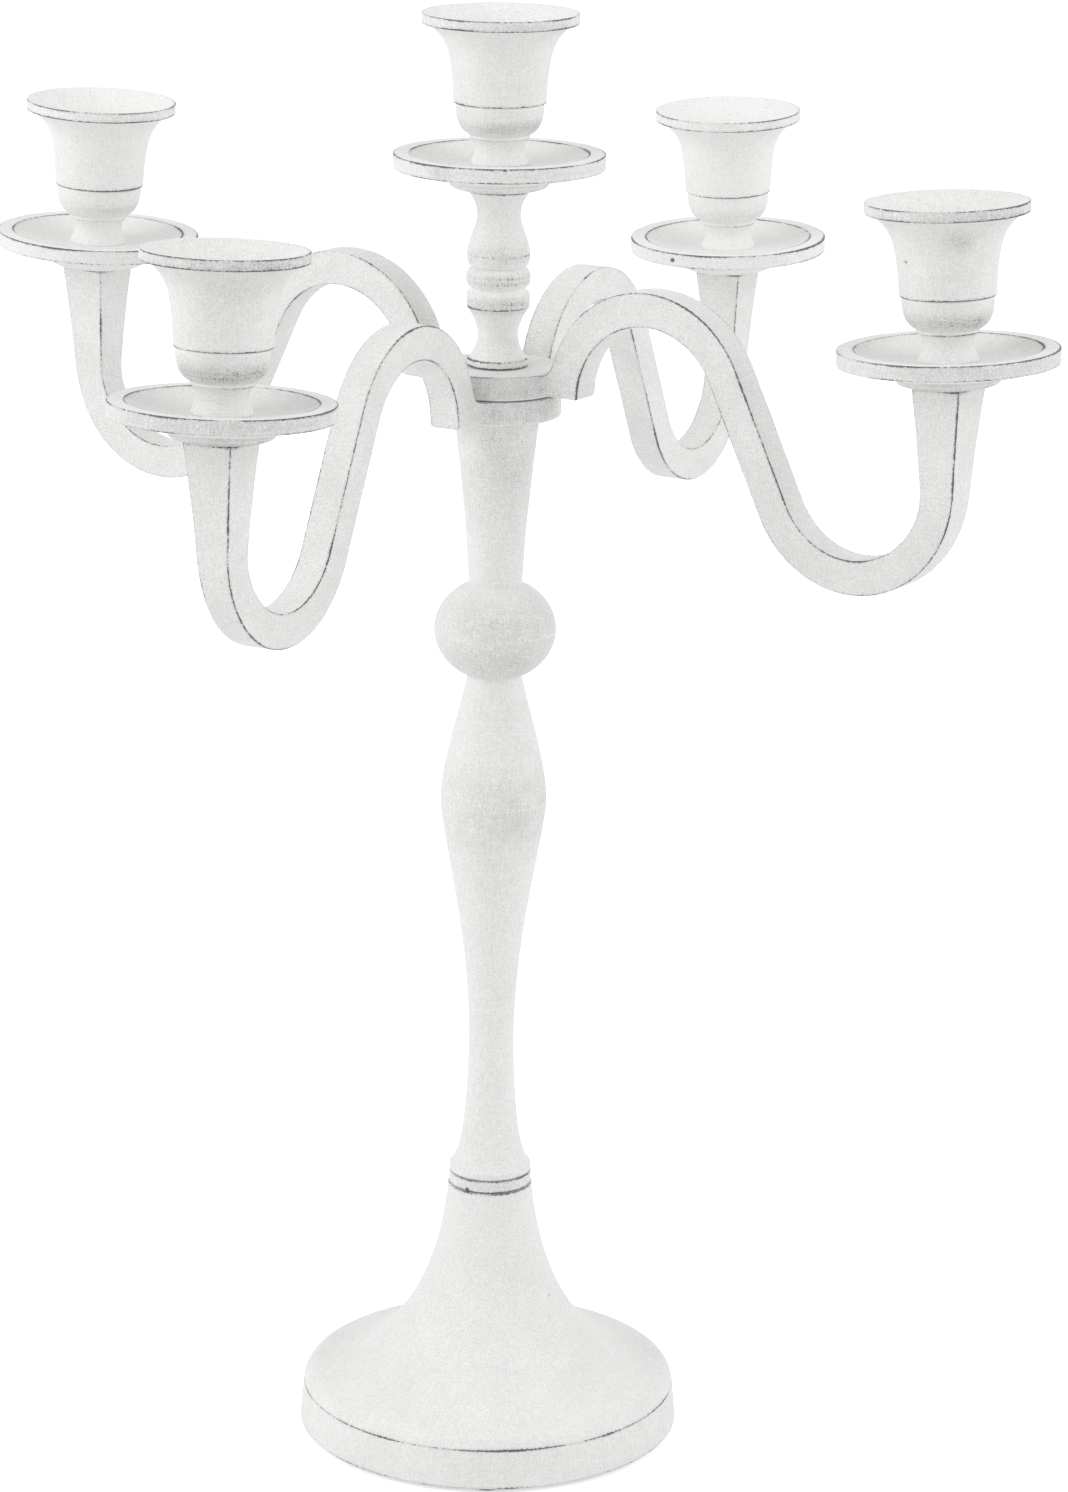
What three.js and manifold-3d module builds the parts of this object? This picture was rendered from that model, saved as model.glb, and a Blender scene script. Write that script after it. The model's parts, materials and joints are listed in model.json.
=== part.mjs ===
// A five-light candelabra in painted cast aluminium: a bell foot, a stem of turned pieces on one tie rod,
// two cross-arms stacked at the hub and clamped by the finial, and a drip plate and a candle cup on every seat.
// Millimetres, +Z up. The origin is on the stem's axis, on the surface that the pads stand on.
import * as THREE from "three";
import { mergeVertices } from "three/addons/utils/BufferGeometryUtils.js";
import Module from "manifold-3d";

const wasm = await Module();
wasm.setup();

// Clearances
const SEAT_GAP = 0.3; // between two pieces that rest face to face
const BORE_CLEARANCE = 0.3; // radial, around the rod and the screws

// Foot pads
const PAD_COUNT = 3;
const PAD_RADIUS = 5;
const PAD_HEIGHT = 0.8;
const PAD_EDGE = 2.1; // from the pad's edge to the foot's outside
const LUG_MARGIN = 1; // the cast lug stands this far round its pad

// Bell foot
const FOOT_RADIUS = 53.6;
const FOOT_TAPER = 1.05; // the band is narrower by this at its top
const FOOT_EDGE = 0.45; // the small chamfer round the foot's lowest edge
const FOOT_BAND_HEIGHT = 11.2;
const FOOT_SHOULDER = 4.4; // rise of the rounded turn from the band into the bell
const FOOT_SHOULDER_WIDTH = 4.75; // and how far it comes in
const FOOT_BELL_HEIGHT = 55.3;
const FOOT_TOP_RADIUS = 11.75;
const FOOT_RIM = 4; // width of the rim that the foot stands on
const FOOT_WALL = 3;
const FOOT_ROOF = 5; // thickness that the tie rod passes
const FOOT_ROOF_RADIUS = 9.65; // of the hollow under the roof

// Collar ring
const RING_RADIUS = 11.5;
const RING_HEIGHT = 3.3;

// Lower stem
const FLANGE_RADIUS = 11.45;
const FLANGE_HEIGHT = 1.9;
const ANKLE_HEIGHT = 37.3;
const WAIST_RADIUS = 6.3;
const CALF_HEIGHT = 69.5; // from the waist up to the belly
const BELLY_RADIUS = 14.65;
const SHOULDER_HEIGHT = 35.4; // from the belly up to the neck
const NECK_RADIUS = 7.5;

// Ball
const BALL_RADIUS = 16.7;
const BALL_HALF_HEIGHT = 14.3; // of the whole flattened ball
const BALL_SEAT_RADIUS = 7.6;

// Upper stem
const UPPER_STEM_LENGTH = 46.6;
const UPPER_STEM_BOTTOM_RADIUS = 7.35;
const UPPER_STEM_TOP_RADIUS = 11.6;

// Cross-arms, heights from the underside of their hub disc
const HUB_RADIUS = 17.3;
const HUB_THICKNESS = 6.5;
const HUB_CHAMFER = 0.4;
const ARM_DEPTH = 9.2; // in the arm's own plane
const ARM_WIDTH = 8.8; // across that plane
const ARCH_RADIUS = 26.4;
const BOW_DROP = 34.6; // from the hub's underside down to the bow's lowest centreline
const DIVE_LENGTH = 37.1; // the straight stretch from the arch down to the bow
const SEAT_REACH = 139.4;
const SEAT_RISE = 18.15;
const SEAT_LEAN = 2.8; // degrees, of the plate and the cup towards the stem
const SEAT_WIDTH = 14; // the arm's square end under the plate
const FLARE_LENGTH = 36;
const ROOT_STEP = 0.8; // the root's flat end, above the disc's underside
const SPRING_RISE = 1.45; // where the arch's curve starts, above the disc's underside
const ROOT_FILLET = 2; // between the hub disc and the arm
const UPPER_AZIMUTH = -35; // degrees from +X to the upper cross-arm's front arm
const LOWER_AZIMUTH = -118.9; // and to the lower one's

// Finial
const FINIAL_BASE_RADIUS = 8.2;
const FINIAL_BASE_HEIGHT = 1.9;
const FINIAL_ANKLE_HEIGHT = 6.2;
const FINIAL_WAIST_RADIUS = 5.4;
const FINIAL_CALF_HEIGHT = 7.9;
const LOW_BEAD_RADIUS = 8.45;
const LOW_BEAD_HEIGHT = 3.7;
const MID_BEAD_RADIUS = 8.65;
const MID_BEAD_HEIGHT = 5.6;
const GROOVE_RADIUS = 7;
const GROOVE_HEIGHT = 1.3;
const BULB_RADIUS = 8.45;
const BULB_HEIGHT = 3.6;
const BULB_SHOULDER_HEIGHT = 10.3;
const FINIAL_NECK_RADIUS = 5.85;
const FINIAL_TOP_RADIUS = 8.4;
const FINIAL_TOP_HEIGHT = 6.7;

// Drip plates
const PLATE_RADIUS = 28.4;
const PLATE_HEIGHT = 9.7;
const PLATE_EDGE = 3.9; // height of the rim's outside
const PLATE_ANNULUS = 4.4; // width of the flat round the dish
const DISH_DEPTH = 3;
const DISH_FLOOR_RADIUS = 8.6;
const BOSS_FOOT_RADIUS = 8.4;
const BOSS_RADIUS = 13.4;
const BOSS_HEIGHT = 1.7;
const BOSS_FLARE_RADIUS = 20.3;
const BOSS_FLARE_HEIGHT = 2.3;

// Candle cups
const CUP_FOOT_RADIUS = 7.8;
const CUP_WAIST_RADIUS = 6.6;
const CUP_WAIST_HEIGHT = 3.6;
const CUP_NECK_HEIGHT = 3.3; // from the waist up to the neck ring
const CUP_RING_RADIUS = 8.1;
const CUP_RING_HEIGHT = 0.9;
const CUP_BULB_RADIUS = 11.75;
const CUP_BULB_HEIGHT = 7.3;
const CUP_STEP_HEIGHT = 1.1; // the undercut between bulb and body
const CUP_BODY_RADIUS = 12.35;
const CUP_BODY_HEIGHT = 21;
const CUP_FLARE_RADIUS = 19.5;
const CUP_RIM_RADIUS = 20.95;
const CUP_RIM_HEIGHT = 2.8;
const CUP_LIP = 0.7; // width of the rim's flat top
const CANDLE_RADIUS = 11; // a 22 mm dinner candle
const CANDLE_CLEARANCE = 0.3;
const CANDLE_GRIP = 12; // height of the straight bore
const CUP_FLOOR = 0.4; // the bore's floor above the body's lower edge

// Tie rod and its fastening
const ROD_RADIUS = 3;
const ROD_IN_FINIAL = 16;
const ROD_END = 3; // past the nut
const WASHER_RADIUS = 7;
const WASHER_HEIGHT = 1.2;
const NUT_ACROSS_FLATS = 10;
const NUT_HEIGHT = 5;

// Cup screws
const SCREW_RADIUS = 2.5;
const SCREW_HEAD_RADIUS = 4.5;
const SCREW_HEAD_HEIGHT = 3;
const SCREW_IN_SEAT = 9;

// Roundness
const FOOT_SIDES = 40;
const STEM_SIDES = 24;
const PLATE_SIDES = 28;
const CUP_SIDES = 20;
const ROD_SIDES = 16;

const PAINT = new THREE.MeshStandardMaterial({ color: 0xe9e8e6, roughness: 0.62, metalness: 0 });
const STEEL = new THREE.MeshStandardMaterial({ color: 0xb9bbbd, roughness: 0.35, metalness: 1 });
const RUBBER = new THREE.MeshStandardMaterial({ color: 0x2b2a29, roughness: 0.85, metalness: 0 });

const ROD_BORE = ROD_RADIUS + BORE_CLEARANCE;
const SCREW_BORE = SCREW_RADIUS + BORE_CLEARANCE;
const ROOT_REACH = HUB_RADIUS + SEAT_GAP + ROOT_FILLET; // the arm's inner side clears the disc stacked above
const ARCH_REACH = ROOT_REACH + ARM_DEPTH / 2 + ARCH_RADIUS; // the arch's crown, from the stem's axis
const BOW_RADIUS = bowRadius();

// The bow takes the room that is left between the straight stretch, its lowest point and the plumb of the seat.
function bowRadius() {
  const reach = SEAT_REACH - ARCH_REACH;
  const drop = BOW_DROP + SPRING_RISE;
  const room = reach + drop + ARCH_RADIUS;
  return room - Math.sqrt(room ** 2 - (reach ** 2 + drop ** 2 - ARCH_RADIUS ** 2 - DIVE_LENGTH ** 2));
}

// Half the outline of a turned piece, drawn step by step: each step gives the new radius and the rise to it.
class Outline {
  constructor(radius, height) {
    this.points = [[radius, height]];
  }

  get radius() {
    return this.points.at(-1)[0];
  }

  get height() {
    return this.points.at(-1)[1];
  }

  line(radius, rise) {
    this.points.push([radius, this.height + rise]);
    return this;
  }

  // A cubic curve. Its handles, leave and arrive, are [share of the radius change, share of the rise].
  curve(radius, rise, leave, arrive, steps) {
    const [r0, z0] = [this.radius, this.height];
    const step = radius - r0;
    const bezier = new THREE.CubicBezierCurve(
      new THREE.Vector2(r0, z0),
      new THREE.Vector2(r0 + leave[0] * step, z0 + leave[1] * rise),
      new THREE.Vector2(radius - arrive[0] * step, z0 + rise - arrive[1] * rise),
      new THREE.Vector2(radius, z0 + rise),
    );
    for (const point of bezier.getPoints(steps).slice(1)) this.points.push([point.x, point.y]);
    return this;
  }

  // Closes the outline on its first point, as round a bore.
  close() {
    this.points.push(this.points[0]);
    return this;
  }

  turned(sides) {
    const half = this.points.map(([radius, height]) => new THREE.Vector2(radius, height));
    return new THREE.LatheGeometry(half, sides).rotateX(Math.PI / 2);
  }
}

function solid(geometry) {
  const bare = new THREE.BufferGeometry();
  bare.setAttribute("position", geometry.getAttribute("position"));
  bare.setIndex(geometry.index);
  const merged = mergeVertices(bare, 1e-4);
  const mesh = new wasm.Mesh({
    numProp: 3,
    vertProperties: new Float32Array(merged.getAttribute("position").array),
    triVerts: new Uint32Array(merged.index.array),
  });
  return new wasm.Manifold(mesh);
}

function geometryOf(body) {
  const mesh = body.getMesh();
  const geometry = new THREE.BufferGeometry();
  geometry.setAttribute("position", new THREE.BufferAttribute(mesh.vertProperties, 3));
  geometry.setIndex(new THREE.BufferAttribute(mesh.triVerts, 1));
  geometry.computeVertexNormals();
  return geometry;
}

function upright(radius, bottom, top, sides) {
  return new Outline(0, bottom).line(radius, 0).line(radius, top - bottom).line(0, 0).turned(sides);
}

function piece(name, geometry, material, height = 0) {
  const mesh = new THREE.Mesh(geometry, material);
  mesh.name = name;
  mesh.position.z = height;
  return mesh;
}

// The foot: a band, a concave bell and a flat top, hollow underneath, with a lug behind each pad.
function footGeometry() {
  const shell = new Outline(FOOT_RADIUS - FOOT_RIM, 0)
    .line(FOOT_RADIUS - FOOT_EDGE, 0)
    .line(FOOT_RADIUS, FOOT_EDGE)
    .line(FOOT_RADIUS - FOOT_TAPER, FOOT_BAND_HEIGHT - FOOT_EDGE)
    .curve(FOOT_RADIUS - FOOT_TAPER - FOOT_SHOULDER_WIDTH, FOOT_SHOULDER, [0.1, 0.55], [0.6, 0.1], 4)
    .curve(FOOT_TOP_RADIUS, FOOT_BELL_HEIGHT, [0.15, 0.013], [0.126, 0.876], 14)
    .line(ROD_BORE, 0)
    .line(ROD_BORE, -FOOT_ROOF)
    .line(FOOT_ROOF_RADIUS, 0);
  shell
    .curve(FOOT_RADIUS - FOOT_RIM, FOOT_BAND_HEIGHT - FOOT_WALL - shell.height, [0.08, 0.55], [0.62, 0.14], 7)
    .close();
  const lugHeight = FOOT_BAND_HEIGHT - FOOT_WALL / 2;
  const lugs = padAzimuths().map((azimuth) => {
    const lug = upright(PAD_RADIUS + LUG_MARGIN, 0, lugHeight, ROD_SIDES);
    return solid(lug.translate(PAD_REACH, 0, 0).rotateZ(azimuth));
  });
  return geometryOf(lugs.reduce((foot, lug) => foot.add(lug), solid(shell.turned(FOOT_SIDES))));
}

const PAD_REACH = FOOT_RADIUS - PAD_EDGE - PAD_RADIUS;

// One pad stands at the front and the others are spread evenly.
function padAzimuths() {
  return Array.from({ length: PAD_COUNT }, (_, i) => -Math.PI / 2 + (i * 2 * Math.PI) / PAD_COUNT);
}

function pads() {
  return padAzimuths().map((azimuth, i) => {
    const pad = piece(`foot_pad_${i + 1}`, upright(PAD_RADIUS, 0, PAD_HEIGHT, ROD_SIDES), RUBBER);
    pad.position.set(PAD_REACH * Math.cos(azimuth), PAD_REACH * Math.sin(azimuth), 0);
    return pad;
  });
}

function ringGeometry() {
  return new Outline(ROD_BORE, 0)
    .line(RING_RADIUS, 0)
    .line(RING_RADIUS, RING_HEIGHT)
    .line(ROD_BORE, 0)
    .close()
    .turned(STEM_SIDES);
}

const LOWER_STEM_LENGTH = FLANGE_HEIGHT + ANKLE_HEIGHT + CALF_HEIGHT + SHOULDER_HEIGHT;

// The lower stem: a flange, a thin waist and a long belly under the ball.
function lowerStemGeometry() {
  return new Outline(ROD_BORE, 0)
    .line(FLANGE_RADIUS, 0)
    .line(FLANGE_RADIUS, FLANGE_HEIGHT)
    .curve(WAIST_RADIUS, ANKLE_HEIGHT, [1, 0.08], [0, 0], 8)
    .curve(BELLY_RADIUS, CALF_HEIGHT, [0, 0.45], [0, 0.14], 9)
    .curve(NECK_RADIUS, SHOULDER_HEIGHT, [0, 0.29], [0.21, 0.24], 7)
    .line(ROD_BORE, 0)
    .close()
    .turned(STEM_SIDES);
}

// Height of the ball's surface above or below its middle where its radius is BALL_SEAT_RADIUS.
const BALL_SEAT = BALL_HALF_HEIGHT * Math.sqrt(1 - (BALL_SEAT_RADIUS / BALL_RADIUS) ** 2);

function ballGeometry() {
  const outline = new Outline(ROD_BORE, 0);
  const start = Math.asin(BALL_SEAT / BALL_HALF_HEIGHT);
  const steps = 12;
  for (let i = 0; i <= steps; i++) {
    const angle = -start + (2 * start * i) / steps;
    outline.points.push([BALL_RADIUS * Math.cos(angle), BALL_SEAT + BALL_HALF_HEIGHT * Math.sin(angle)]);
  }
  return outline.line(ROD_BORE, 0).close().turned(STEM_SIDES);
}

function upperStemGeometry() {
  return new Outline(ROD_BORE, 0)
    .line(UPPER_STEM_BOTTOM_RADIUS, 0)
    .curve(UPPER_STEM_TOP_RADIUS, UPPER_STEM_LENGTH, [0.15, 0.35], [0.42, 0.33], 6)
    .line(ROD_BORE, 0)
    .close()
    .turned(STEM_SIDES);
}

// The arm's centreline in its own plane: plumb out of the root, up over the arch, down the common tangent,
// round the bow and plumb up to the seat. Each station has its place, its heading and its distance below the seat.
function armStations() {
  const stations = [];
  const arc = (x, z, radius, from, to, side, steps) => {
    for (let i = 0; i <= steps; i++) {
      const heading = from + ((to - from) * i) / steps;
      const outward = heading + (side * Math.PI) / 2;
      stations.push({ x: x + radius * Math.cos(outward), z: z + radius * Math.sin(outward), heading });
    }
  };
  const bow = { x: SEAT_REACH - BOW_RADIUS, z: BOW_RADIUS - BOW_DROP };
  const across = Math.hypot(bow.x - ARCH_REACH, bow.z - SPRING_RISE);
  const bearing = Math.atan2(bow.z - SPRING_RISE, bow.x - ARCH_REACH);
  const dive = bearing - Math.asin((ARCH_RADIUS + BOW_RADIUS) / across);
  stations.push({ x: ARCH_REACH - ARCH_RADIUS, z: ROOT_STEP, heading: Math.PI / 2 });
  arc(ARCH_REACH, SPRING_RISE, ARCH_RADIUS, Math.PI / 2, dive, 1, 14);
  arc(bow.x, bow.z, BOW_RADIUS, dive, Math.PI / 2, -1, 14);
  const steps = 6;
  for (let i = 1; i <= steps; i++) {
    stations.push({ x: SEAT_REACH, z: bow.z + ((SEAT_RISE - bow.z) * i) / steps, heading: Math.PI / 2 });
  }
  stations.at(-1).heading += THREE.MathUtils.degToRad(SEAT_LEAN);
  let below = 0;
  for (let i = stations.length - 1; i >= 0; i--) {
    const next = stations[Math.min(i + 1, stations.length - 1)];
    below += Math.hypot(next.x - stations[i].x, next.z - stations[i].z);
    stations[i].below = below;
  }
  return stations;
}

// The square section swells towards the seat.
function swelling(width, below) {
  const share = Math.max(0, 1 - below / FLARE_LENGTH);
  return width + (SEAT_WIDTH - width) * share ** 1.5;
}

// One arm as a closed tube of four-cornered rings.
function armGeometry() {
  const positions = [];
  for (const { x, z, heading, below } of armStations()) {
    const depth = swelling(ARM_DEPTH, below) / 2;
    const width = swelling(ARM_WIDTH, below) / 2;
    const [nx, nz] = [-Math.sin(heading), Math.cos(heading)];
    for (const [side, across] of [[1, -1], [1, 1], [-1, 1], [-1, -1]]) {
      positions.push(x + side * depth * nx, across * width, z + side * depth * nz);
    }
  }
  const rings = positions.length / 12;
  const indices = [0, 1, 2, 0, 2, 3];
  for (let ring = 0; ring < rings - 1; ring++) {
    for (let k = 0; k < 4; k++) {
      const [a, b] = [4 * ring + k, 4 * ring + ((k + 1) % 4)];
      indices.push(a, a + 4, b + 4, a, b + 4, b);
    }
  }
  const last = 4 * (rings - 1);
  indices.push(last, last + 2, last + 1, last, last + 3, last + 2);
  const geometry = new THREE.BufferGeometry();
  geometry.setAttribute("position", new THREE.Float32BufferAttribute(positions, 3));
  geometry.setIndex(indices);
  return geometry;
}

// The block between disc and arch, with a hollow fillet up to the arm's inner side.
function rootGeometry() {
  const top = HUB_THICKNESS + 2 * ROOT_FILLET;
  const back = ARCH_REACH - Math.sqrt((ARCH_RADIUS + ARM_DEPTH / 2) ** 2 - (top - SPRING_RISE) ** 2);
  const shape = new THREE.Shape();
  shape.moveTo(HUB_RADIUS / 2, ROOT_STEP);
  shape.lineTo(ROOT_REACH + ARM_DEPTH / 2, ROOT_STEP);
  shape.lineTo(back + ARM_DEPTH / 2, top);
  shape.lineTo(back, top);
  shape.quadraticCurveTo(ROOT_REACH, HUB_THICKNESS, ROOT_REACH - ROOT_FILLET, HUB_THICKNESS);
  shape.lineTo(HUB_RADIUS / 2, HUB_THICKNESS);
  shape.closePath();
  const block = new THREE.ExtrudeGeometry(shape, { depth: ARM_WIDTH, bevelEnabled: false, curveSegments: 5 });
  return block.translate(0, 0, -ARM_WIDTH / 2).rotateX(Math.PI / 2);
}

// A hub disc and two opposite arms cast in one, bored for the tie rod and for a screw in each seat.
function crossArmGeometry() {
  const disc = new Outline(0, 0)
    .line(HUB_RADIUS - HUB_CHAMFER, 0)
    .line(HUB_RADIUS, HUB_CHAMFER)
    .line(HUB_RADIUS, HUB_THICKNESS - HUB_CHAMFER)
    .line(0, 0);
  let casting = solid(disc.turned(FOOT_SIDES));
  const lean = THREE.MathUtils.degToRad(SEAT_LEAN);
  for (const turn of [0, Math.PI]) {
    casting = casting.add(solid(rootGeometry().rotateZ(turn)));
    casting = casting.add(solid(armGeometry().rotateZ(turn)));
    const hole = upright(SCREW_BORE, -SCREW_IN_SEAT - SEAT_GAP, ARM_DEPTH, ROD_SIDES);
    casting = casting.subtract(solid(hole.rotateY(-lean).translate(SEAT_REACH, 0, SEAT_RISE).rotateZ(turn)));
  }
  const bore = upright(ROD_BORE, -HUB_THICKNESS, 2 * HUB_THICKNESS, ROD_SIDES);
  return geometryOf(casting.subtract(solid(bore)));
}

// The finial: a base ring, a waist, two beads between grooves, a bulb and a neck that carries the middle plate.
function finialGeometry() {
  return new Outline(0, ROD_IN_FINIAL + SEAT_GAP)
    .line(ROD_BORE, 0)
    .line(ROD_BORE, -ROD_IN_FINIAL - SEAT_GAP)
    .line(FINIAL_BASE_RADIUS, 0)
    .line(FINIAL_BASE_RADIUS, FINIAL_BASE_HEIGHT)
    .curve(FINIAL_WAIST_RADIUS, FINIAL_ANKLE_HEIGHT, [0.48, 0.13], [0, 0.36], 4)
    .curve(LOW_BEAD_RADIUS, FINIAL_CALF_HEIGHT, [0, 0.18], [0.93, 0.55], 5)
    .line(LOW_BEAD_RADIUS, LOW_BEAD_HEIGHT)
    .line(GROOVE_RADIUS, GROOVE_HEIGHT)
    .curve(MID_BEAD_RADIUS, MID_BEAD_HEIGHT / 2, [0.9, 0.2], [0, 0.4], 3)
    .curve(GROOVE_RADIUS, MID_BEAD_HEIGHT / 2, [0, 0.4], [0.9, 0.2], 3)
    .curve(BULB_RADIUS, BULB_HEIGHT, [0.95, 0.15], [0, 0.4], 3)
    .curve(FINIAL_NECK_RADIUS, BULB_SHOULDER_HEIGHT, [0, 0.34], [0, 0.26], 6)
    .curve(FINIAL_TOP_RADIUS, FINIAL_TOP_HEIGHT, [0, 0.5], [0.45, 0.24], 4)
    .line(SCREW_BORE, 0)
    .line(SCREW_BORE, -SCREW_IN_SEAT - SEAT_GAP)
    .line(0, 0)
    .turned(CUP_SIDES);
}

const FINIAL_HEIGHT =
  FINIAL_BASE_HEIGHT +
  FINIAL_ANKLE_HEIGHT +
  FINIAL_CALF_HEIGHT +
  LOW_BEAD_HEIGHT +
  GROOVE_HEIGHT +
  MID_BEAD_HEIGHT +
  BULB_HEIGHT +
  BULB_SHOULDER_HEIGHT +
  FINIAL_TOP_HEIGHT;

// The plate: a stepped boss underneath, a thick rim with a flat annulus, and a shallow dish.
function plateGeometry() {
  const outline = new Outline(SCREW_BORE, 0)
    .line(BOSS_FOOT_RADIUS, 0)
    .curve(BOSS_RADIUS, BOSS_HEIGHT, [0.8, 0.15], [0, 0.4], 2)
    .curve(BOSS_FLARE_RADIUS, BOSS_FLARE_HEIGHT, [0.1, 0.4], [0.5, 0.1], 2);
  return outline
    .line(PLATE_RADIUS, PLATE_HEIGHT - PLATE_EDGE - outline.height)
    .line(PLATE_RADIUS, PLATE_EDGE)
    .line(PLATE_RADIUS - PLATE_ANNULUS, 0)
    .curve(DISH_FLOOR_RADIUS, -DISH_DEPTH, [0.1, 0.45], [0.5, 0], 3)
    .line(SCREW_BORE, 0)
    .close()
    .turned(PLATE_SIDES);
}

const CUP_NECK_TOP = CUP_WAIST_HEIGHT + CUP_NECK_HEIGHT + CUP_RING_HEIGHT;
const CUP_BODY_BOTTOM = CUP_NECK_TOP + CUP_BULB_HEIGHT + CUP_STEP_HEIGHT;
const CUP_FLOOR_HEIGHT = CUP_BODY_BOTTOM + CUP_FLOOR;
const CUP_BORE = CANDLE_RADIUS + CANDLE_CLEARANCE;

// The cup: a waisted neck and ring, a bulb, an undercut, and a flaring body with a flat rim round the bore.
function cupGeometry() {
  const outline = new Outline(SCREW_BORE, 0)
    .line(CUP_FOOT_RADIUS, 0)
    .curve(CUP_WAIST_RADIUS, CUP_WAIST_HEIGHT, [0.3, 0.4], [0, 0.4], 2)
    .curve(CUP_RING_RADIUS, CUP_NECK_HEIGHT, [0, 0.4], [0.6, 0.15], 2)
    .line(CUP_RING_RADIUS, CUP_RING_HEIGHT)
    .curve(CUP_BULB_RADIUS, CUP_BULB_HEIGHT, [0.55, 0.1], [0, 0.6], 4)
    .line(CUP_BULB_RADIUS, CUP_STEP_HEIGHT)
    .line(CUP_BODY_RADIUS, 0)
    .curve(CUP_FLARE_RADIUS, CUP_BODY_HEIGHT, [0.08, 0.73], [0.65, 0.17], 6)
    .line(CUP_RIM_RADIUS, 0)
    .line(CUP_RIM_RADIUS, CUP_RIM_HEIGHT)
    .line(CUP_RIM_RADIUS - CUP_LIP, 0);
  return outline
    .curve(CUP_BORE, CUP_FLOOR_HEIGHT + CANDLE_GRIP - outline.height, [0.35, 0.3], [0, 0.4], 3)
    .line(CUP_BORE, -CANDLE_GRIP)
    .line(SCREW_BORE, 0)
    .close()
    .turned(CUP_SIDES);
}

const CUP_SEAT = PLATE_HEIGHT - DISH_DEPTH + SEAT_GAP; // the cup's foot above the plate's underside
const SCREW_SEAT = CUP_SEAT + CUP_FLOOR_HEIGHT + SEAT_GAP; // the screw head's underside, from the same place

function screwGeometry() {
  return new Outline(0, -SEAT_GAP - SCREW_IN_SEAT)
    .line(SCREW_RADIUS, 0)
    .line(SCREW_RADIUS, SCREW_SEAT + SEAT_GAP + SCREW_IN_SEAT)
    .line(SCREW_HEAD_RADIUS, 0)
    .line(SCREW_HEAD_RADIUS, SCREW_HEAD_HEIGHT)
    .line(0, 0)
    .turned(ROD_SIDES);
}

function nutGeometry() {
  const shape = new THREE.Shape();
  const corner = NUT_ACROSS_FLATS / Math.sqrt(3);
  for (let i = 0; i < 6; i++) {
    const angle = (i * Math.PI) / 3;
    shape[i ? "lineTo" : "moveTo"](corner * Math.cos(angle), corner * Math.sin(angle));
  }
  shape.closePath();
  shape.holes.push(new THREE.Path().absarc(0, 0, ROD_BORE, 0, 2 * Math.PI, true));
  return new THREE.ExtrudeGeometry(shape, { depth: NUT_HEIGHT, bevelEnabled: false, curveSegments: ROD_SIDES });
}

function washerGeometry() {
  return new Outline(ROD_BORE, 0)
    .line(WASHER_RADIUS, 0)
    .line(WASHER_RADIUS, WASHER_HEIGHT)
    .line(ROD_BORE, 0)
    .close()
    .turned(ROD_SIDES);
}

// A plate, a cup and the screw that holds both, standing on the surface at the group's own origin.
function light(place) {
  const group = new THREE.Group();
  group.add(piece(`drip_plate_${place}`, plateGeometry(), PAINT, SEAT_GAP));
  group.add(piece(`candle_cup_${place}`, cupGeometry(), PAINT, SEAT_GAP + CUP_SEAT));
  group.add(piece(`cup_screw_${place}`, screwGeometry(), STEEL, SEAT_GAP));
  return group;
}

// A cross-arm with a light at each end, turned to its place round the stem.
function crossArm(name, azimuth, height, [front, back]) {
  const group = new THREE.Group();
  group.position.z = height;
  group.rotation.z = THREE.MathUtils.degToRad(azimuth);
  group.add(piece(name, crossArmGeometry(), PAINT));
  for (const [place, turn] of [[front, 0], [back, Math.PI]]) {
    const end = new THREE.Group();
    end.rotation.z = turn;
    const seat = light(place);
    seat.position.set(SEAT_REACH, 0, SEAT_RISE);
    seat.rotation.y = -THREE.MathUtils.degToRad(SEAT_LEAN);
    end.add(seat);
    group.add(end);
  }
  return group;
}

function tieRod(footBottom, finialBottom) {
  const roof = footBottom + FOOT_BAND_HEIGHT + FOOT_SHOULDER + FOOT_BELL_HEIGHT - FOOT_ROOF;
  const washer = roof - SEAT_GAP - WASHER_HEIGHT;
  const nut = washer - SEAT_GAP - NUT_HEIGHT;
  const bottom = nut - ROD_END;
  const rod = upright(ROD_RADIUS, bottom, finialBottom + ROD_IN_FINIAL, ROD_SIDES);
  return [
    piece("tie_rod", rod, STEEL),
    piece("tie_rod_washer", washerGeometry(), STEEL, washer),
    piece("tie_rod_nut", nutGeometry(), STEEL, nut),
  ];
}

function candelabra() {
  const group = new THREE.Group();
  const footBottom = PAD_HEIGHT + SEAT_GAP;
  let height = footBottom;
  const stack = (name, geometry, length) => {
    group.add(piece(name, geometry, PAINT, height));
    height += length + SEAT_GAP;
  };
  group.add(...pads());
  stack("bell_foot", footGeometry(), FOOT_BAND_HEIGHT + FOOT_SHOULDER + FOOT_BELL_HEIGHT);
  stack("collar_ring", ringGeometry(), RING_HEIGHT);
  stack("lower_stem", lowerStemGeometry(), LOWER_STEM_LENGTH);
  stack("stem_ball", ballGeometry(), 2 * BALL_SEAT);
  stack("upper_stem", upperStemGeometry(), UPPER_STEM_LENGTH);
  group.add(crossArm("lower_cross_arm", LOWER_AZIMUTH, height, ["front_left", "back_right"]));
  height += HUB_THICKNESS + SEAT_GAP;
  group.add(crossArm("upper_cross_arm", UPPER_AZIMUTH, height, ["front_right", "back_left"]));
  height += HUB_THICKNESS + SEAT_GAP;
  group.add(...tieRod(footBottom, height));
  stack("finial", finialGeometry(), FINIAL_HEIGHT);
  const middle = light("centre");
  middle.position.z = height - SEAT_GAP;
  group.add(middle);
  return group;
}

export default candelabra();
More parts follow.
